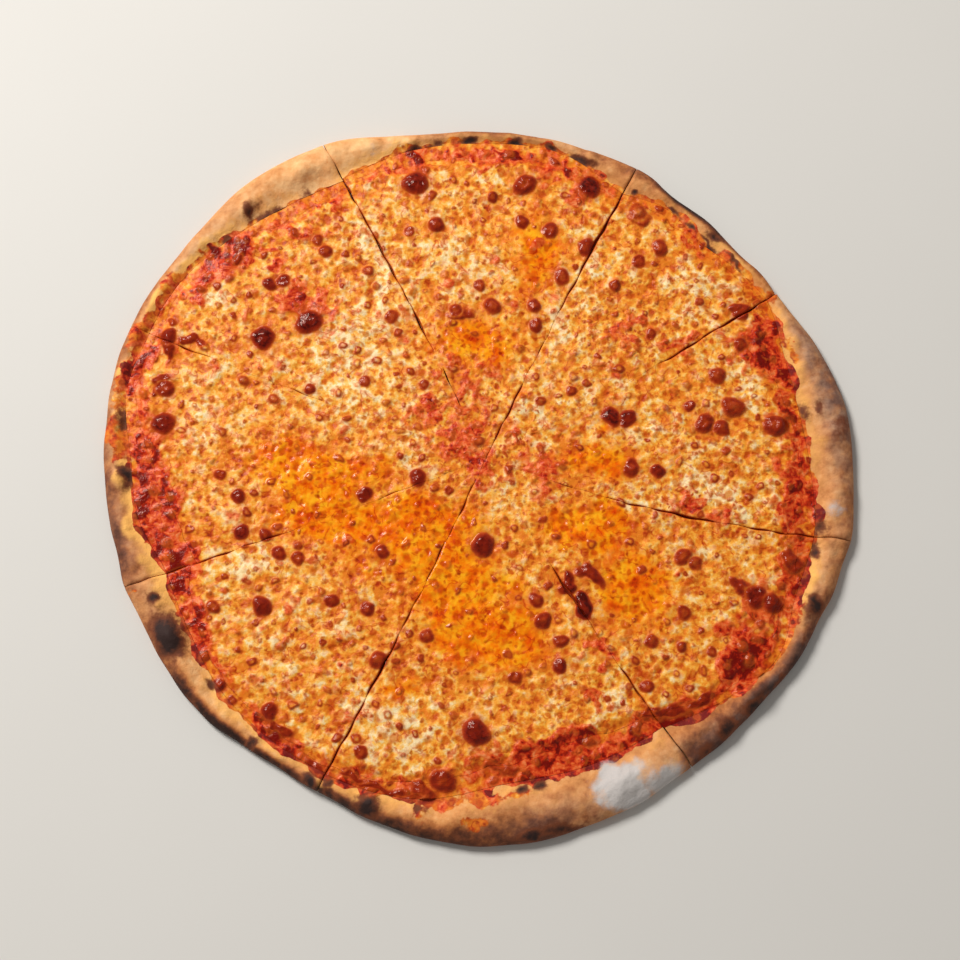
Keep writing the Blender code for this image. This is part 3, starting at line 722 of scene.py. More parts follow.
def make_maps():
    """All the maps: relief in mm, and how much there is of each colour."""
    rng = np.random.default_rng(SEED)
    noises = [soft_noise(rng, size) for size in (LUMP_SIZE, SMALL_SIZE, GRAIN_SIZE)]
    lumps, small, grain = noises
    bend_x, bend_y = (sum(reach * soft_noise(rng, size) for reach, size in BENDS) for _ in range(2))
    oil = zone_map(OIL_ZONES, bend_x, bend_y)
    sauce = zone_map(SAUCE_ZONES, bend_x, bend_y)
    pale = zone_map(PALE_ZONES, bend_x, bend_y)
    maps = {key: np.zeros((MAP_SIDE, MAP_SIDE)) for key in ("height", "brown", "dimple")}
    maps["bend_x"], maps["bend_y"] = bend_x, bend_y
    maps["lumps"], maps["small"] = lumps, small
    maps["oil"] = np.clip(1.15 * oil + 0.12 * lumps * (0.4 + oil) + 0.14, 0.0, 1.2)
    maps["sauce"] = sauce + 0.10 * small + 0.09 * lumps
    maps["pale"] = 0.42 + 0.34 * pale - 0.25 * oil + 0.09 * lumps + 0.06 * small
    maps["fleck"] = np.clip(zone_map(FLECK_ZONES, bend_x, bend_y) + 0.12 * lumps, 0.0, 1.0)
    scatter_dimples(maps, rng)
    scatter_blisters(maps, rng, oil)
    add_listed_blisters(maps, rng)
    fleck = band(grain * 0.8 + small * 0.5, 0.9, 1.7) * (0.25 + 0.75 * maps["fleck"])
    maps["brown"] = np.maximum(maps["brown"], 0.5 * fleck)
    raised = np.clip(maps["brown"] * 1.6, 0.0, 1.0)
    calm = 1.0 - 0.5 * oil
    maps["height"] += relief(CHEESE_RELIEF, noises) * calm + raised * relief(CRISP_RELIEF, noises)
    maps["char"] = around_rim(CHAR_SPOTS, 0.4 * bend_x, 0.4 * bend_y)
    maps["flour"] = around_rim(FLOUR_SPOTS, 0.4 * bend_x, 0.4 * bend_y)
    maps["stain"] = around_rim(STAIN_SPOTS, 0.6 * bend_x, 0.6 * bend_y)
    maps["dough"] = relief(DOUGH_RELIEF, noises)
    return maps


# Meshes


class Sheet(NamedTuple):
    """The top of a layer: its points by radius and share of the slice, its faces, and the loop round it."""

    radius: np.ndarray
    t: np.ndarray
    faces: list
    border: np.ndarray


def wedge_sheet(number, edge, rows, gap):
    """An even triangle net from a slice's tip to an edge, which is a function of the slice and t."""
    row = np.repeat(np.arange(rows + 1), np.arange(1, rows + 2))
    column = np.arange(len(row)) - row * (row + 1) // 2
    t = np.where(row > 0, column / np.maximum(row, 1), 0.5)
    tip = tip_radius(number, gap)
    radius = tip + (edge(number, t) - tip) * row / rows
    corner = np.flatnonzero(row < rows)
    below = corner + row[corner] + 1
    pointed_in = np.stack((corner, below + 1, below), 1)
    side = np.flatnonzero((row < rows) & (column < row))
    pointed_out = np.stack((side, side + 1, side + row[side] + 2), 1)
    step = np.arange(rows + 1)
    left = step * (step + 1) // 2
    arc = left[-1] + np.arange(1, rows)
    right = (left + step)[:0:-1]
    faces = np.concatenate((pointed_in, pointed_out)).tolist()
    return Sheet(radius, t, faces, np.concatenate((left, arc, right)))


def band_sheet(number, inner, outer, shares, gap):
    """A grid between two edges of a slice, and one flat face from it to the tip, which toppings hide."""
    columns = RIM_COLUMNS
    rows = len(shares) - 1
    line = np.linspace(0.0, 1.0, columns + 1)
    inner_line, outer_line = inner(number, line), outer(number, line)
    grid = inner_line + (outer_line - inner_line) * shares[:, None]
    tip = tip_radius(number, gap)
    steps = np.arange(BED_STEPS) / BED_STEPS
    left = tip + (inner_line[0] - tip) * steps
    right = tip + (inner_line[-1] - tip) * steps[:0:-1]
    radius = np.concatenate((grid.ravel(), left, right))
    t = np.concatenate((np.tile(line, rows + 1), np.zeros(BED_STEPS), np.ones(BED_STEPS - 1)))
    corner = (np.arange(rows)[:, None] * (columns + 1) + np.arange(columns)).ravel()
    quads = np.stack((corner, corner + 1, corner + columns + 2, corner + columns + 1), 1)
    start = grid.size
    left_ids = start + np.arange(BED_STEPS)
    right_ids = start + BED_STEPS + np.arange(BED_STEPS - 1)
    first_row = np.arange(columns + 1)
    row_starts = np.arange(rows + 1) * (columns + 1)
    flat = np.concatenate((left_ids, first_row, right_ids))[::-1]
    last_row = row_starts[-1] + np.arange(1, columns)
    border = np.concatenate((left_ids, row_starts, last_row, (row_starts + columns)[::-1], right_ids))
    return Sheet(radius, t, quads.tolist() + [flat.tolist()], border)


def make_piece(name, sheet, points, walls, attributes, wall_attributes, material):
    """A closed mesh: the sheet, walls down from its border by the given rings of points, and a flat floor."""
    count = len(points)
    width = len(sheet.border)
    ring = sheet.border
    faces = list(sheet.faces)
    for step in range(len(walls)):
        lower = count + step * width + np.arange(width)
        faces += np.stack((ring, np.roll(ring, -1), np.roll(lower, -1), lower), 1).tolist()
        ring = lower
    faces.append(ring.tolist())
    co = (np.concatenate((points, *walls)) + np.array((MIDDLE_X, MIDDLE_Y, 0.0))) * MM
    mesh = bpy.data.meshes.new(name)
    mesh.from_pydata(co.tolist(), [], faces)
    mesh.shade_smooth()
    for key, values in attributes.items():
        wall_values = wall_attributes.get(key, values[sheet.border])
        values = np.concatenate((values, np.tile(wall_values, len(walls))))
        mesh.attributes.new(key, "FLOAT", "POINT").data.foreach_set("value", values.astype(np.float32))
    mesh.materials.append(material)
    mesh.set_sharp_from_angle(angle=math.radians(SHARP_ANGLE))
    piece = bpy.data.objects.new(name, mesh)
    bpy.context.scene.collection.objects.link(piece)
    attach(piece, "root")
    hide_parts(name)


def straight_walls(points, border, floor, steps):
    """Rings of points straight down from the border to a floor height."""
    walls = []
    for share in np.arange(1, steps + 1) / steps:
        wall = points[border].copy()
        wall[:, 2] += (floor - wall[:, 2]) * share
        walls.append(wall)
    return walls


def topping_attributes(maps, x, y, near_rim, away, opened):
    """What the topping's colours need at each point: redder by the rim, and browner beside an open cut, where
    the brown is painted shade along the cut.
    """
    values = {key: read_map(maps[key], x, y) for key in ("brown", "dimple", "oil", "sauce", "pale", "fleck")}
    deep = np.clip(values["sauce"] - 0.9, 0.0, 1.0)
    thick = band(0.7 * read_map(maps["lumps"], x, y) + 0.6 * read_map(maps["small"], x, y), 0.0, 1.6)
    red = band(values["sauce"] + 0.20 * near_rim, 0.14, 0.62)
    values["sauce"] = red * (1.0 + 0.35 * near_rim * thick) + 0.7 * deep
    values["pale"] = values["pale"] - 0.22 * near_rim
    # Browner beside an open cut: painted shade along the cut
    values["brown"] = np.maximum(values["brown"], 0.60 * opened * np.exp(-away / LIP_SHADE_WIDTH))
    return values


def cheese_piece(number, maps, material):
    """The melted cheese of one slice, rounded at open cuts and thin at the rim."""
    sheet = wedge_sheet(number, cheese_edge, CHEESE_ROWS, cheese_gap)
    radius, t = sheet.radius, sheet.t
    angle, span = slice_angle(number, radius, t, cheese_gap)
    x, y = radius * np.cos(angle), radius * np.sin(angle)
    to_rim = cheese_edge(number, t) - radius
    inward = smooth_step(to_rim / CHEESE_LIP_WIDTH)
    drop, away, opened = cut_drop(number, radius, t, span)
    thick = CHEESE_LIP + (CHEESE_THICK - CHEESE_LIP) * inward
    thick += inward * CHEESE_SWELL * unevenness(x, y, CHEESE_SWELL_SIZE, 4)
    thick += read_map(maps["height"], x, y) * (0.8 + 0.2 * inward) - drop
    z = CHEESE_FLOOR + np.maximum(thick, CHEESE_THINNEST)
    near_rim = 1.0 - smooth_step(to_rim / NEAR_RIM)
    attributes = topping_attributes(maps, x, y, near_rim, away, opened)
    points = np.stack((x, y, z), 1)
    walls = straight_walls(points, sheet.border, CHEESE_FLOOR, 2)
    edge = np.ones(len(sheet.border))
    # The cheese's sides are painted brown and red: painted shade inside the cuts
    wall_attributes = {"brown": SIDE_SHADE_BROWN * edge, "sauce": edge, "dimple": 0.0 * edge}
    make_piece(f"cheese_{number + 1}", sheet, points, walls, attributes, wall_attributes, material)


def sauce_start(number, t):
    """Radius from which the sauce shows, just past the cheese."""
    return cheese_edge(number, t) + SAUCE_CLEAR


def sauce_end(number, t):
    """Radius at which the sauce ends, at the rim's foot."""
    return rim_foot(number, t) - SAUCE_INSET


def sauce_piece(number, maps, material):
    """The tomato layer of one slice: flat and dark under the cheese, where the dark is painted shade seen in
    the cuts, and lumpy where it shows at the rim.
    """
    shares = np.concatenate(((0.0,), np.linspace(STEEP, 1.0, SAUCE_ROWS)))
    sheet = band_sheet(number, sauce_start, sauce_end, shares, sauce_gap)
    radius, t = sheet.radius, sheet.t
    start, end = sauce_start(number, t), sauce_end(number, t)
    share = np.clip((radius - start) / (end - start), 0.0, 1.0)
    angle, span = slice_angle(number, radius, t, sauce_gap)
    x, y = radius * np.cos(angle), radius * np.sin(angle)
    drop, away, opened = cut_drop(number, radius, t, span)
    ring = CHEESE_FLOOR + CHEESE_LIP - RING_DROP * share + RING_RELIEF * read_map(maps["height"], x, y) - drop
    shown = share > STEEP / 2.0
    z = np.where(shown, np.maximum(ring, SAUCE_FLOOR + SAUCE_THICK), SAUCE_FLOOR + SAUCE_THICK)
    attributes = topping_attributes(maps, x, y, np.ones(len(x)), away, opened)
    attributes["sauce"] = np.where(shown, attributes["sauce"], 1.0)
    # Under the cheese the sauce is painted dark brown: painted shade at the bottom of the cuts
    attributes["brown"] = np.where(shown, attributes["brown"], HIDDEN_SHADE_BROWN)
    points = np.stack((x, y, z), 1)
    walls = straight_walls(points, sheet.border, SAUCE_FLOOR, 1)
    make_piece(f"sauce_{number + 1}", sheet, points, walls, attributes, {}, material)


def rim_tone(degrees, column):
    """A column of the rim's tones at these angles."""
    angles = [row[0] for row in RIM_TONES]
    return np.interp((degrees + 180.0) % 360.0 - 180.0, angles, [row[column] for row in RIM_TONES])


def rim_relief(x, y):
    """The solids' lumps and air bubbles of the rim, in mm."""
    height = RIM_LUMP * unevenness(x, y, RIM_LUMP_SIZE, 3)
    for degrees, radius, size, rise in RIM_BUBBLES:
        a = math.radians(degrees)
        away = ((x - radius * math.cos(a)) ** 2 + (y - radius * math.sin(a)) ** 2) / (size * size)
        height += rise * np.clip(1.0 - away, 0.0, None) ** 2
    return height


def rim_shares():
    """The rim's rows of points, as shares of its width: closest on its steep outside."""
    half = RIM_ROWS // 2
    rising = np.concatenate(((0.0,), np.linspace(STEEP, RIM_CREST, half)))
    falling = RIM_CREST + (1.0 - RIM_CREST) * np.sin(np.linspace(0.0, math.pi / 2.0, RIM_ROWS - half + 1))
    return np.concatenate((rising, falling[1:]))


def rim_colours(maps, x, y, degrees, q, spilt, width):
    """What the dough's colours need at each point, q from 0 at the rim's foot to 1 at its outer edge."""
    inner_bake = rim_tone(degrees, 1) + (rim_tone(degrees, 2) - rim_tone(degrees, 1)) * smooth_step(q / 0.5)
    # Darker towards the outer edge: partly browning, partly painted shade on the rim's outer side
    outer_share = smooth_step((q - 0.48) / 0.38)
    return {
        "bake_and_shade": inner_bake + (rim_tone(degrees, 3) - inner_bake) * outer_share,
        "ash": rim_tone(degrees, 4) * smooth_step((q - 0.15) / 0.5),
        "gold": rim_tone(degrees, 5) * (1.0 - smooth_step((spilt - 1.5) / (0.55 * width))),
        "char": read_map(maps["char"], x, y),
        "flour": read_map(maps["flour"], x, y),
        "crumb": np.zeros(len(x)),
    }


def crust_walls(number, sheet, foot, width, q, z):
    """Rings of points down from the crust's border, drawn in under the rim."""
    ring = sheet.border
    radius, t = sheet.radius[ring], sheet.t[ring]
    tucked = foot[ring] + (width[ring] - RIM_TUCK) * q[ring]
    low_radius = np.where(q[ring] > 0.0, tucked, radius)
    walls = []
    for share in WALL_STEPS:
        wall_x, wall_y = place(number, radius + (low_radius - radius) * share**WALL_CURVE, t, crust_gap)
        walls.append(np.stack((wall_x, wall_y, z[ring] * (1.0 - share)), 1))
    return walls


def crust_piece(number, maps, material):
    """The baked dough of one slice: a raised rim with lumps, bubbles and burns, and its crumb at the cuts."""
    sheet = band_sheet(number, rim_foot, rim_edge, rim_shares(), crust_gap)
    radius, t = sheet.radius, sheet.t
    foot = rim_foot(number, t)
    width = rim_edge(number, t) - foot
    q = np.clip((radius - foot) / width, 0.0, 1.0)
    angle, span = slice_angle(number, radius, t, crust_gap)
    x, y = radius * np.cos(angle), radius * np.sin(angle)
    fade = np.sqrt(np.sin(math.pi * q).clip(0.0, None))
    to_cut = np.minimum(t, 1.0 - t) * span * radius
    edge_round = RIM_CUT_DROP * (1.0 - smooth_step(to_cut / RIM_CUT_ROUND)) * fade
    uneven = SPILL_LUMPS * read_map(maps["lumps"], x, y) + SPILL_SMALL * read_map(maps["small"], x, y)
    spilt = radius - foot - SPILL - uneven
    topped = 1.0 - smooth_step((spilt + 1.0) / SPILL_FADE)
    z = rim_height(q, width) + fade * (rim_relief(x, y) + read_map(maps["dough"], x, y)) - edge_round
    z += np.where(q > STEEP / 2.0, SPILL_RELIEF * topped * read_map(maps["height"], x, y), 0.0)
    attributes = topping_attributes(maps, x, y, np.ones(len(x)), to_cut, np.zeros(len(x)))
    attributes |= rim_colours(maps, x, y, np.degrees(angle), q, spilt, width)
    attributes["stain"] = np.maximum(topped, read_map(maps["stain"], x, y))
    points = np.stack((x, y, z), 1)
    walls = crust_walls(number, sheet, foot, width, q, z)
    border_t = t[sheet.border]
    at_cut = ((border_t == 0.0) | (border_t == 1.0)).astype(float)
    wall_attributes = {"crumb": at_cut, "stain": np.zeros(len(at_cut))}
    make_piece(f"crust_{number + 1}", sheet, points, walls, attributes, wall_attributes, material)


# Materials


def rgb(red, green, blue):
    """An sRGB colour from 0 to 255 as linear RGBA."""
    linear = []
    for value in (red, green, blue):
        share = value / 255.0
        linear.append(share / 12.92 if share <= 0.04045 else ((share + 0.055) / 1.055) ** 2.4)
    return (*linear, 1.0)


# Colours

AMBER = rgb(234, 128, 30)
GOLD = rgb(250, 170, 56)
CREAM = rgb(255, 200, 106)
CREAM_LIGHT = rgb(255, 236, 186)
OIL_DEEP = rgb(236, 96, 0)
OIL = rgb(250, 134, 4)
OIL_BRIGHT = rgb(255, 176, 26)
TOMATO_DARK = rgb(120, 12, 4)
TOMATO = rgb(196, 44, 12)
TOMATO_LIGHT = rgb(232, 96, 40)
SALMON = rgb(244, 146, 88)
DIMPLE = (0.70, 0.36, 0.15, 1.0)
SPECK = (0.68, 0.46, 0.24, 1.0)
GLINT = (1.0, 0.76, 0.66, 1.0)
THREAD = (0.66, 0.26, 0.14, 1.0)
REDDENED = (0.92, 0.52, 0.36, 1.0)
# Toppings on the rim darkened: a little for searing, and most at their edge as painted shade
SEARED_AND_SHADED = (0.62, 0.40, 0.28, 1.0)
TOAST_LIGHT = rgb(216, 112, 34)
TOAST = rgb(186, 72, 20)
TOAST_DARK = rgb(150, 40, 10)
MAROON = rgb(122, 24, 8)
BLACKENED = rgb(76, 8, 4)
DOUGH_PALE = rgb(246, 192, 132)
DOUGH_TAN = rgb(224, 152, 88)
DOUGH_GOLD = rgb(184, 110, 56)
DOUGH_BROWN = rgb(122, 64, 34)
DOUGH_DARK = rgb(52, 26, 17)
DOUGH_YELLOW = rgb(255, 188, 98)
ASH_LIGHT = rgb(184, 148, 126)
ASH = rgb(118, 88, 78)
ASH_DARK = rgb(60, 44, 42)
CHAR_BROWN = rgb(120, 62, 34)
CHAR = rgb(48, 28, 24)
FLOUR = rgb(202, 197, 194)
FLOOR_DARK = rgb(216, 213, 208)
FLOOR_LIGHT = rgb(222, 219, 214)
CRUMB = rgb(226, 184, 130)
CRUMB_DARK = rgb(190, 136, 84)


class Recipe:
    """A material's node tree, written as one expression after another."""

    def __init__(self, name):
        self.material = bpy.data.materials.new(name)
        self.material.use_nodes = True
        self.nodes = self.material.node_tree.nodes
        self.links = self.material.node_tree.links
        self.shader = self.nodes["Principled BSDF"]
        self.place = self.nodes.new("ShaderNodeTexCoord").outputs["Object"]

    def put(self, socket, value):
        """Sets a socket, or links it where the value is another node's output."""
        if isinstance(value, bpy.types.NodeSocket):
            self.links.new(value, socket)
        else:
            socket.default_value = value

    def read(self, key):
        """One of the mesh's own attributes."""
        node = self.nodes.new("ShaderNodeAttribute")
        node.attribute_name = key
        return node.outputs["Fac"]

    def noise_node(self, size, detail, roughness, place):
        """A noise texture with lumps of this size in mm."""
        node = self.nodes.new("ShaderNodeTexNoise")
        self.put(node.inputs["Vector"], self.place if place is None else place)
        node.inputs["Scale"].default_value = 1.0 / (size * MM)
        node.inputs["Detail"].default_value = detail
        node.inputs["Roughness"].default_value = roughness
        return node

    def noise(self, size, detail=3.0, roughness=0.55, place=None):
        """Noise from 0 to 1 with lumps of this size in mm."""
        return self.noise_node(size, detail, roughness, place).outputs["Fac"]

    def vector(self, operation, a, b):
        """A Vector Math node."""
        node = self.nodes.new("ShaderNodeVectorMath")
        node.operation = operation
        self.put(node.inputs[0], a)
        self.put(node.inputs[1], b)
        return node.outputs[0]

    def bent(self, size, reach):
        """The place, moved about by up to this many mm in swirls of this size."""
        swirl = self.noise_node(size, 2.0, 0.5, None).outputs["Color"]
        shift = self.vector("SUBTRACT", swirl, (0.5, 0.5, 0.5))
        shift = self.vector("MULTIPLY", shift, (2.0 * reach * MM,) * 3)
        return self.vector("ADD", self.place, shift)

    def strands(self, bent, across, length):
        """Noise drawn out in strands that cross, from 0 to 1."""
        flat = self.vector("MULTIPLY", bent, (1.0, across / length, 1.0))
        upright = self.vector("MULTIPLY", bent, (across / length, 1.0, 1.0))
        first = self.noise(across, 2.0, 0.5, flat)
        second = self.noise(across, 2.0, 0.5, upright)
        return self.math("MAXIMUM", first, second)

    def cells(self, size, place):
        """Scattered points about this many mm apart: how many mm to the nearest, and its own number."""
        node = self.nodes.new("ShaderNodeTexVoronoi")
        node.voronoi_dimensions = "2D"
        self.put(node.inputs["Vector"], place)
        node.inputs["Scale"].default_value = 1.0 / (size * MM)
        split = self.nodes.new("ShaderNodeSeparateColor")
        self.links.new(node.outputs["Color"], split.inputs[0])
        return self.math("MULTIPLY", node.outputs["Distance"], size), split.outputs[0]

    def math(self, operation, a, b=0.0):
        """A Math node."""
        node = self.nodes.new("ShaderNodeMath")
        node.operation = operation
        self.put(node.inputs[0], a)
        self.put(node.inputs[1], b)
        return node.outputs[0]

    def times(self, a, b):
        """Two values multiplied."""
        return self.math("MULTIPLY", a, b)

    def around(self, value, spread):
        """A value that is 0.5 on the whole, brought round 0 and scaled."""
        return self.times(self.math("SUBTRACT", value, 0.5), spread)

    def total(self, first, *rest):
        """Values added up."""
        for value in rest:
            first = self.math("ADD", first, value)
        return first

    def band(self, value, low, high, to_low=0.0, to_high=1.0):
        """A value eased from one range to another."""
        node = self.nodes.new("ShaderNodeMapRange")
        node.interpolation_type = "SMOOTHSTEP"
        self.put(node.inputs["Value"], value)
        node.inputs["From Min"].default_value = low
        node.inputs["From Max"].default_value = high
        node.inputs["To Min"].default_value = to_low
        node.inputs["To Max"].default_value = to_high
        return node.outputs["Result"]

    def mix(self, factor, a, b, blend="MIX"):
        """Two colours mixed."""
        node = self.nodes.new("ShaderNodeMix")
        node.data_type = "RGBA"
        node.blend_type = blend
        self.put(node.inputs["Factor"], factor)
        self.put(node.inputs[6], a)
        self.put(node.inputs[7], b)
        return node.outputs[2]

    def ramp(self, value, *stops):
        """A colour ramp: (position, colour) for each stop."""
        node = self.nodes.new("ShaderNodeValToRGB")
        self.put(node.inputs["Fac"], value)
        elements = node.color_ramp.elements
        for _ in stops[2:]:
            elements.new(0.5)
        for element, (position, colour) in zip(elements, stops):
            element.position = position
            element.color = colour
        return node.outputs["Color"]

    def bump(self, height, depth):
        """Fine relief of this depth in mm."""
        node = self.nodes.new("ShaderNodeBump")
        node.inputs["Distance"].default_value = depth * MM
        self.put(node.inputs["Height"], height)
        self.put(self.shader.inputs["Normal"], node.outputs["Normal"])


class Grain(NamedTuple):
    """The noises that the topping's colours and relief share."""

    patches: bpy.types.NodeSocket
    curd: bpy.types.NodeSocket
    fine: bpy.types.NodeSocket
    clump: bpy.types.NodeSocket
    swirl: bpy.types.NodeSocket
    strand: bpy.types.NodeSocket


def topping_grain(m):
    """The topping's noises, from wide patches to fine grain, and its strands of tomato."""
    swirl = m.bent(SWIRL, SWIRL_REACH)
    patches, curd, fine, clump = (m.noise(size, 2.0) for size in (PATCH, CURD, FINE, CLUMP))
    return Grain(patches, curd, fine, clump, swirl, m.strands(swirl, STRAND_WIDTH, STRAND_LENGTH))


def tomato_colour(m, grain, sauce):
    """Cooked tomato: dark red between strands of lighter pulp, and darkest where it lies thick."""
    tone = m.total(grain.strand, m.around(grain.clump, 0.7), m.around(grain.fine, 0.35))
    tone = m.total(tone, m.band(sauce, 0.85, 1.35, 0.0, -0.34))
    return m.ramp(tone, (0.28, TOMATO_DARK), (0.44, TOMATO), (0.60, TOMATO_LIGHT), (0.82, SALMON))


def topping_colour(m, grain):
    """The colour of baked cheese over tomato sauce: the surface's own attributes say which shows."""
    patches, curd, fine, clump, swirl, strand = grain
    thread = m.math("ABSOLUTE", m.around(m.noise(THREAD_SIZE, 2.0, 0.5, swirl), 1.0))
    speck_away, speck_kind = m.cells(SPECKS_APART, m.bent(2.6, 1.0))
    fleck_away, fleck_kind = m.cells(FLECKS_APART, m.bent(2.4, 1.4))
    brown, dimple, oil = m.read("brown"), m.read("dimple"), m.read("oil")
    sauce, pale, fleck = m.read("sauce"), m.read("pale"), m.read("fleck")
    tone = m.total(pale, m.around(patches, 1.2), m.around(curd, 2.1), m.around(fine, 0.6))
    colour = m.ramp(tone, (0.10, AMBER), (0.38, GOLD), (0.62, CREAM), (0.90, CREAM_LIGHT))
    oil_tone = m.total(patches, m.around(curd, 0.7), m.around(fine, 0.3))
    oiled = m.ramp(oil_tone, (0.30, OIL_DEEP), (0.45, OIL), (0.68, OIL_BRIGHT))
    oil_share = m.band(m.total(oil, m.around(patches, 0.5), m.around(curd, 0.4)), 0.10, 0.80)
    colour = m.mix(oil_share, colour, oiled)
    threaded = m.times(m.band(thread, 0.0, 0.045, 1.0, 0.0), m.band(clump, 0.40, 0.62, 0.1, 0.85))
    colour = m.mix(threaded, colour, THREAD, "MULTIPLY")
    colour = m.mix(m.band(m.total(dimple, m.around(fine, 0.5)), 0.08, 0.62), colour, DIMPLE, "MULTIPLY")
    speck = m.times(m.band(speck_away, 0.4, 1.4, 1.0, 0.0), m.band(speck_kind, 0.25, 0.75))
    colour = m.mix(speck, colour, SPECK, "MULTIPLY")
    tomato = tomato_colour(m, grain, sauce)
    sauced = m.total(sauce, m.around(clump, 1.3), m.around(curd, 1.0), m.around(strand, -0.5))
    colour = m.mix(m.band(sauced, -0.05, 0.40), colour, REDDENED, "MULTIPLY")
    colour = m.mix(m.band(sauced, 0.22, 0.75), colour, tomato)
    flecked = m.times(m.band(fleck_away, 0.3, 1.2, 1.0, 0.0), m.band(fleck_kind, 0.35, 0.7))
    colour = m.mix(m.times(flecked, fleck), colour, TOAST)
    browned = m.ramp(m.total(brown, m.around(fine, 0.34), m.around(curd, 0.24)),
                     (0.14, TOAST_LIGHT), (0.42, TOAST), (0.68, TOAST_DARK), (0.90, MAROON), (1.0, BLACKENED))
    return m.mix(m.band(m.total(brown, m.around(fine, 0.15)), 0.04, 0.56), colour, browned)


def topping_material(name):
    """Baked cheese over tomato sauce, most shiny where it is brown or oily."""
    m = Recipe(name)
    grain = topping_grain(m)
    m.put(m.shader.inputs["Base Color"], topping_colour(m, grain))
    brown, oil, sauce = m.read("brown"), m.read("oil"), m.read("sauce")
    shine = m.math("MAXIMUM", m.math("MAXIMUM", brown, oil), m.times(sauce, 0.45))
    m.put(m.shader.inputs["Roughness"], m.band(shine, 0.2, 0.8, 0.44, 0.22))
    m.shader.inputs["Specular IOR Level"].default_value = 0.27
    m.shader.inputs["Specular Tint"].default_value = GLINT
    strand_relief = m.times(m.times(grain.strand, sauce), 1.5)
    rough = m.total(grain.fine, m.times(grain.curd, 0.8), m.times(m.noise(0.9, 1.0), 0.25), strand_relief)
    m.bump(m.times(rough, m.band(oil, 0.2, 0.8, 1.0, 0.4)), 0.30)
    return m.material


def crust_material():
    """Baked dough: pale to brown and darker outside, partly painted shade there, greyed and burnt in places,
    dusted with flour, crumb at the cuts, and toppings spilt on it with painted shade along their edge.
    """
    m = Recipe("baked_crust")
    mottle = m.noise(MOTTLE, 4.0)
    fine = m.noise(DOUGH_FINE, 4.0)
    dust = m.noise(DUST, 3.0)
    blotch = m.noise(BLOTCH, 3.0)
    bake_and_shade = m.total(m.read("bake_and_shade"), m.around(mottle, 0.7), m.around(blotch, 0.5), m.around(fine, 0.2))
    colour = m.ramp(bake_and_shade, (0.04, DOUGH_PALE), (0.33, DOUGH_TAN), (0.56, DOUGH_GOLD), (0.76, DOUGH_BROWN),
                    (1.0, DOUGH_DARK))
    greyed = m.ramp(bake_and_shade, (0.15, ASH_LIGHT), (0.55, ASH), (0.95, ASH_DARK))
    ash = m.times(m.read("ash"), m.band(m.noise(ASH_SIZE, 3.0), 0.32, 0.62, 0.50, 1.0))
    colour = m.mix(ash, colour, greyed)
    gold = m.band(m.total(m.read("gold"), m.around(mottle, 0.8), m.around(fine, 0.4)), 0.15, 0.75)
    colour = m.mix(gold, colour, DOUGH_YELLOW)
    stain = m.total(m.read("stain"), m.around(blotch, 0.9), m.around(fine, 0.4))
    grain = topping_grain(m)
    # Spilt toppings are darkest at their edge, which is painted shade along it, and a little darker further
    # in, where they are seared
    seared_and_shaded = m.times(m.band(stain, 0.40, 0.80, 0.55, 0.15), m.band(grain.clump, 0.35, 0.6, 0.3, 1.0))
    topping = m.mix(seared_and_shaded, topping_colour(m, grain), SEARED_AND_SHADED, "MULTIPLY")
    colour = m.mix(m.band(stain, 0.36, 0.56), colour, topping)
    char = m.total(m.read("char"), m.around(blotch, 0.7), m.around(fine, 0.4))
    colour = m.mix(m.band(char, 0.08, 0.52), colour, CHAR_BROWN)
    colour = m.mix(m.band(char, 0.42, 0.95), colour, CHAR)
    flour = m.total(m.read("flour"), m.around(blotch, 0.5), m.around(fine, 0.2), m.around(dust, 0.15))
    colour = m.mix(m.band(flour, 0.18, 0.66, 0.0, 0.95), colour, FLOUR)
    crumb = m.mix(m.noise(CRUMB_SIZE, 4.0), CRUMB_DARK, CRUMB)
    colour = m.mix(m.band(m.read("crumb"), 0.3, 0.8), colour, crumb)
    m.put(m.shader.inputs["Base Color"], colour)
    m.shader.inputs["Roughness"].default_value = 0.75
    m.shader.inputs["Specular IOR Level"].default_value = 0.3
    m.bump(m.total(fine, m.times(dust, 0.4)), 0.4)
    return m.material


def floor_material():
    """A plain pale table."""
    m = Recipe("pale_floor")
    m.put(m.shader.inputs["Base Color"], m.mix(m.noise(FLOOR_CLOUDS), FLOOR_DARK, FLOOR_LIGHT))
    m.shader.inputs["Roughness"].default_value = 0.8
    return m.material


# Stage


def add_floor():
    """A pale floor under the pizza."""
    bpy.ops.mesh.primitive_plane_add(size=FLOOR_WIDTH, location=(0.0, 0.0, FLOOR_LEVEL))
    floor = bpy.context.object
    floor.name = "floor"
    floor.data.materials.append(floor_material())


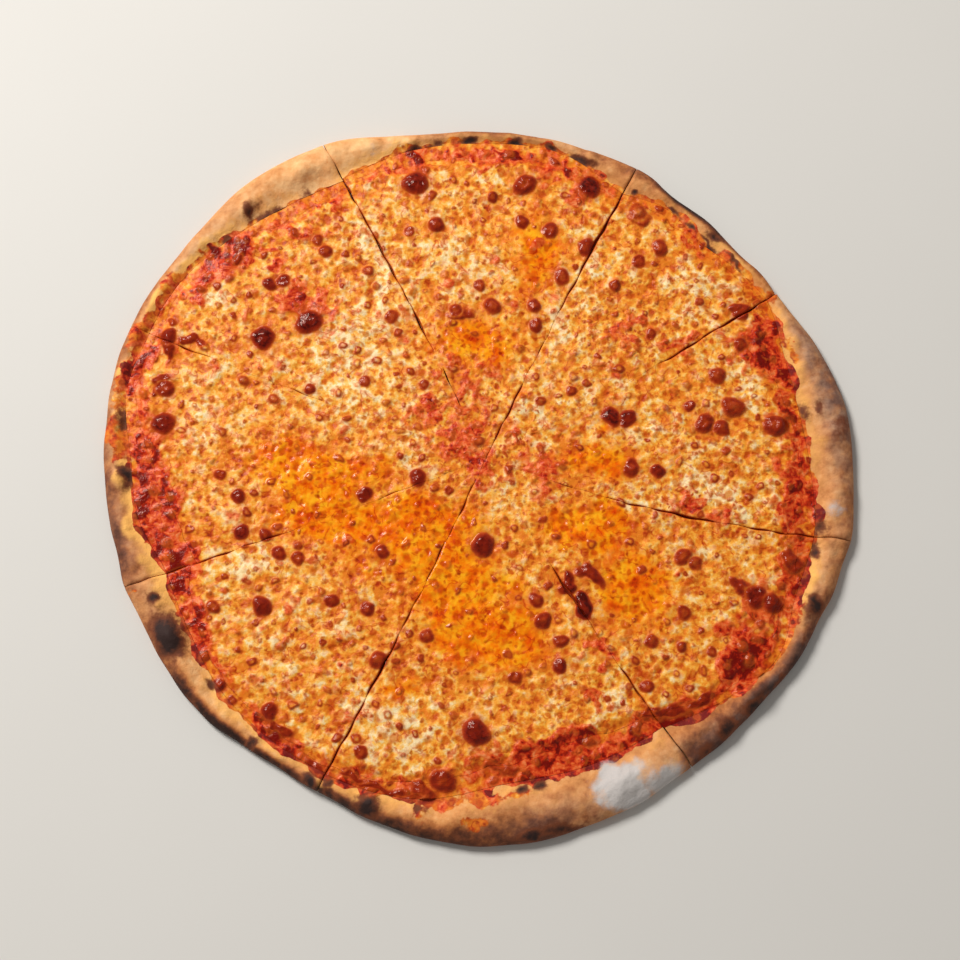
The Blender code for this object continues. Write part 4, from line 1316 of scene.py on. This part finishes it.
def add_key_light():
    """Soft daylight from beyond the pizza's far left."""
    light = bpy.data.lights.new("key", "AREA")
    light.shape = "DISK"
    light.size = KEY_SIZE
    light.energy = KEY_POWER
    light.color = KEY_COLOUR
    lamp = bpy.data.objects.new("key", light)
    lamp.location = CAMERA_TARGET + Vector(KEY_DIRECTION).normalized() * KEY_AWAY
    lamp.rotation_mode = "QUATERNION"
    lamp.rotation_quaternion = (lamp.location - CAMERA_TARGET).to_track_quat("Z", "Y")
    bpy.context.scene.collection.objects.link(lamp)


def add_sky():
    """An even fill, brighter from the sides than from above, so that the toppings don't look hazy."""
    world = bpy.data.worlds.new("studio")
    world.use_nodes = True
    nodes, links = world.node_tree.nodes, world.node_tree.links
    direction = nodes.new("ShaderNodeTexCoord").outputs["Generated"]
    split = nodes.new("ShaderNodeSeparateXYZ")
    links.new(direction, split.inputs[0])
    strength = nodes.new("ShaderNodeMapRange")
    links.new(split.outputs["Z"], strength.inputs["Value"])
    strength.inputs["To Min"].default_value = SKY_LOW
    strength.inputs["To Max"].default_value = SKY_HIGH
    links.new(strength.outputs["Result"], nodes["Background"].inputs["Strength"])
    nodes["Background"].inputs["Color"].default_value = SKY_COLOUR
    bpy.context.scene.world = world


def add_camera():
    """The camera, at the picture's own angle."""
    lens = bpy.data.cameras.new("camera")
    lens.lens = CAMERA_LENS
    lens.sensor_width = CAMERA_SENSOR
    angle = math.radians(CAMERA_HEIGHT_ANGLE)
    away = Vector((0.0, -math.cos(angle), math.sin(angle)))
    camera = bpy.data.objects.new("camera", lens)
    camera.location = CAMERA_TARGET + away * CAMERA_AWAY
    camera.rotation_mode = "QUATERNION"
    camera.rotation_quaternion = away.to_track_quat("Z", "Y")
    bpy.context.scene.collection.objects.link(camera)
    bpy.context.scene.camera = camera


bpy.context.scene.view_settings.view_transform = "Standard"
maps = make_maps()
crust_look = crust_material()
cheese_look = topping_material("baked_cheese")
sauce_look = topping_material("tomato_sauce")
for number in range(len(SLICES)):
    crust_piece(number, maps, crust_look)
    sauce_piece(number, maps, sauce_look)
    cheese_piece(number, maps, cheese_look)
add_floor()
add_key_light()
add_sky()
add_camera()
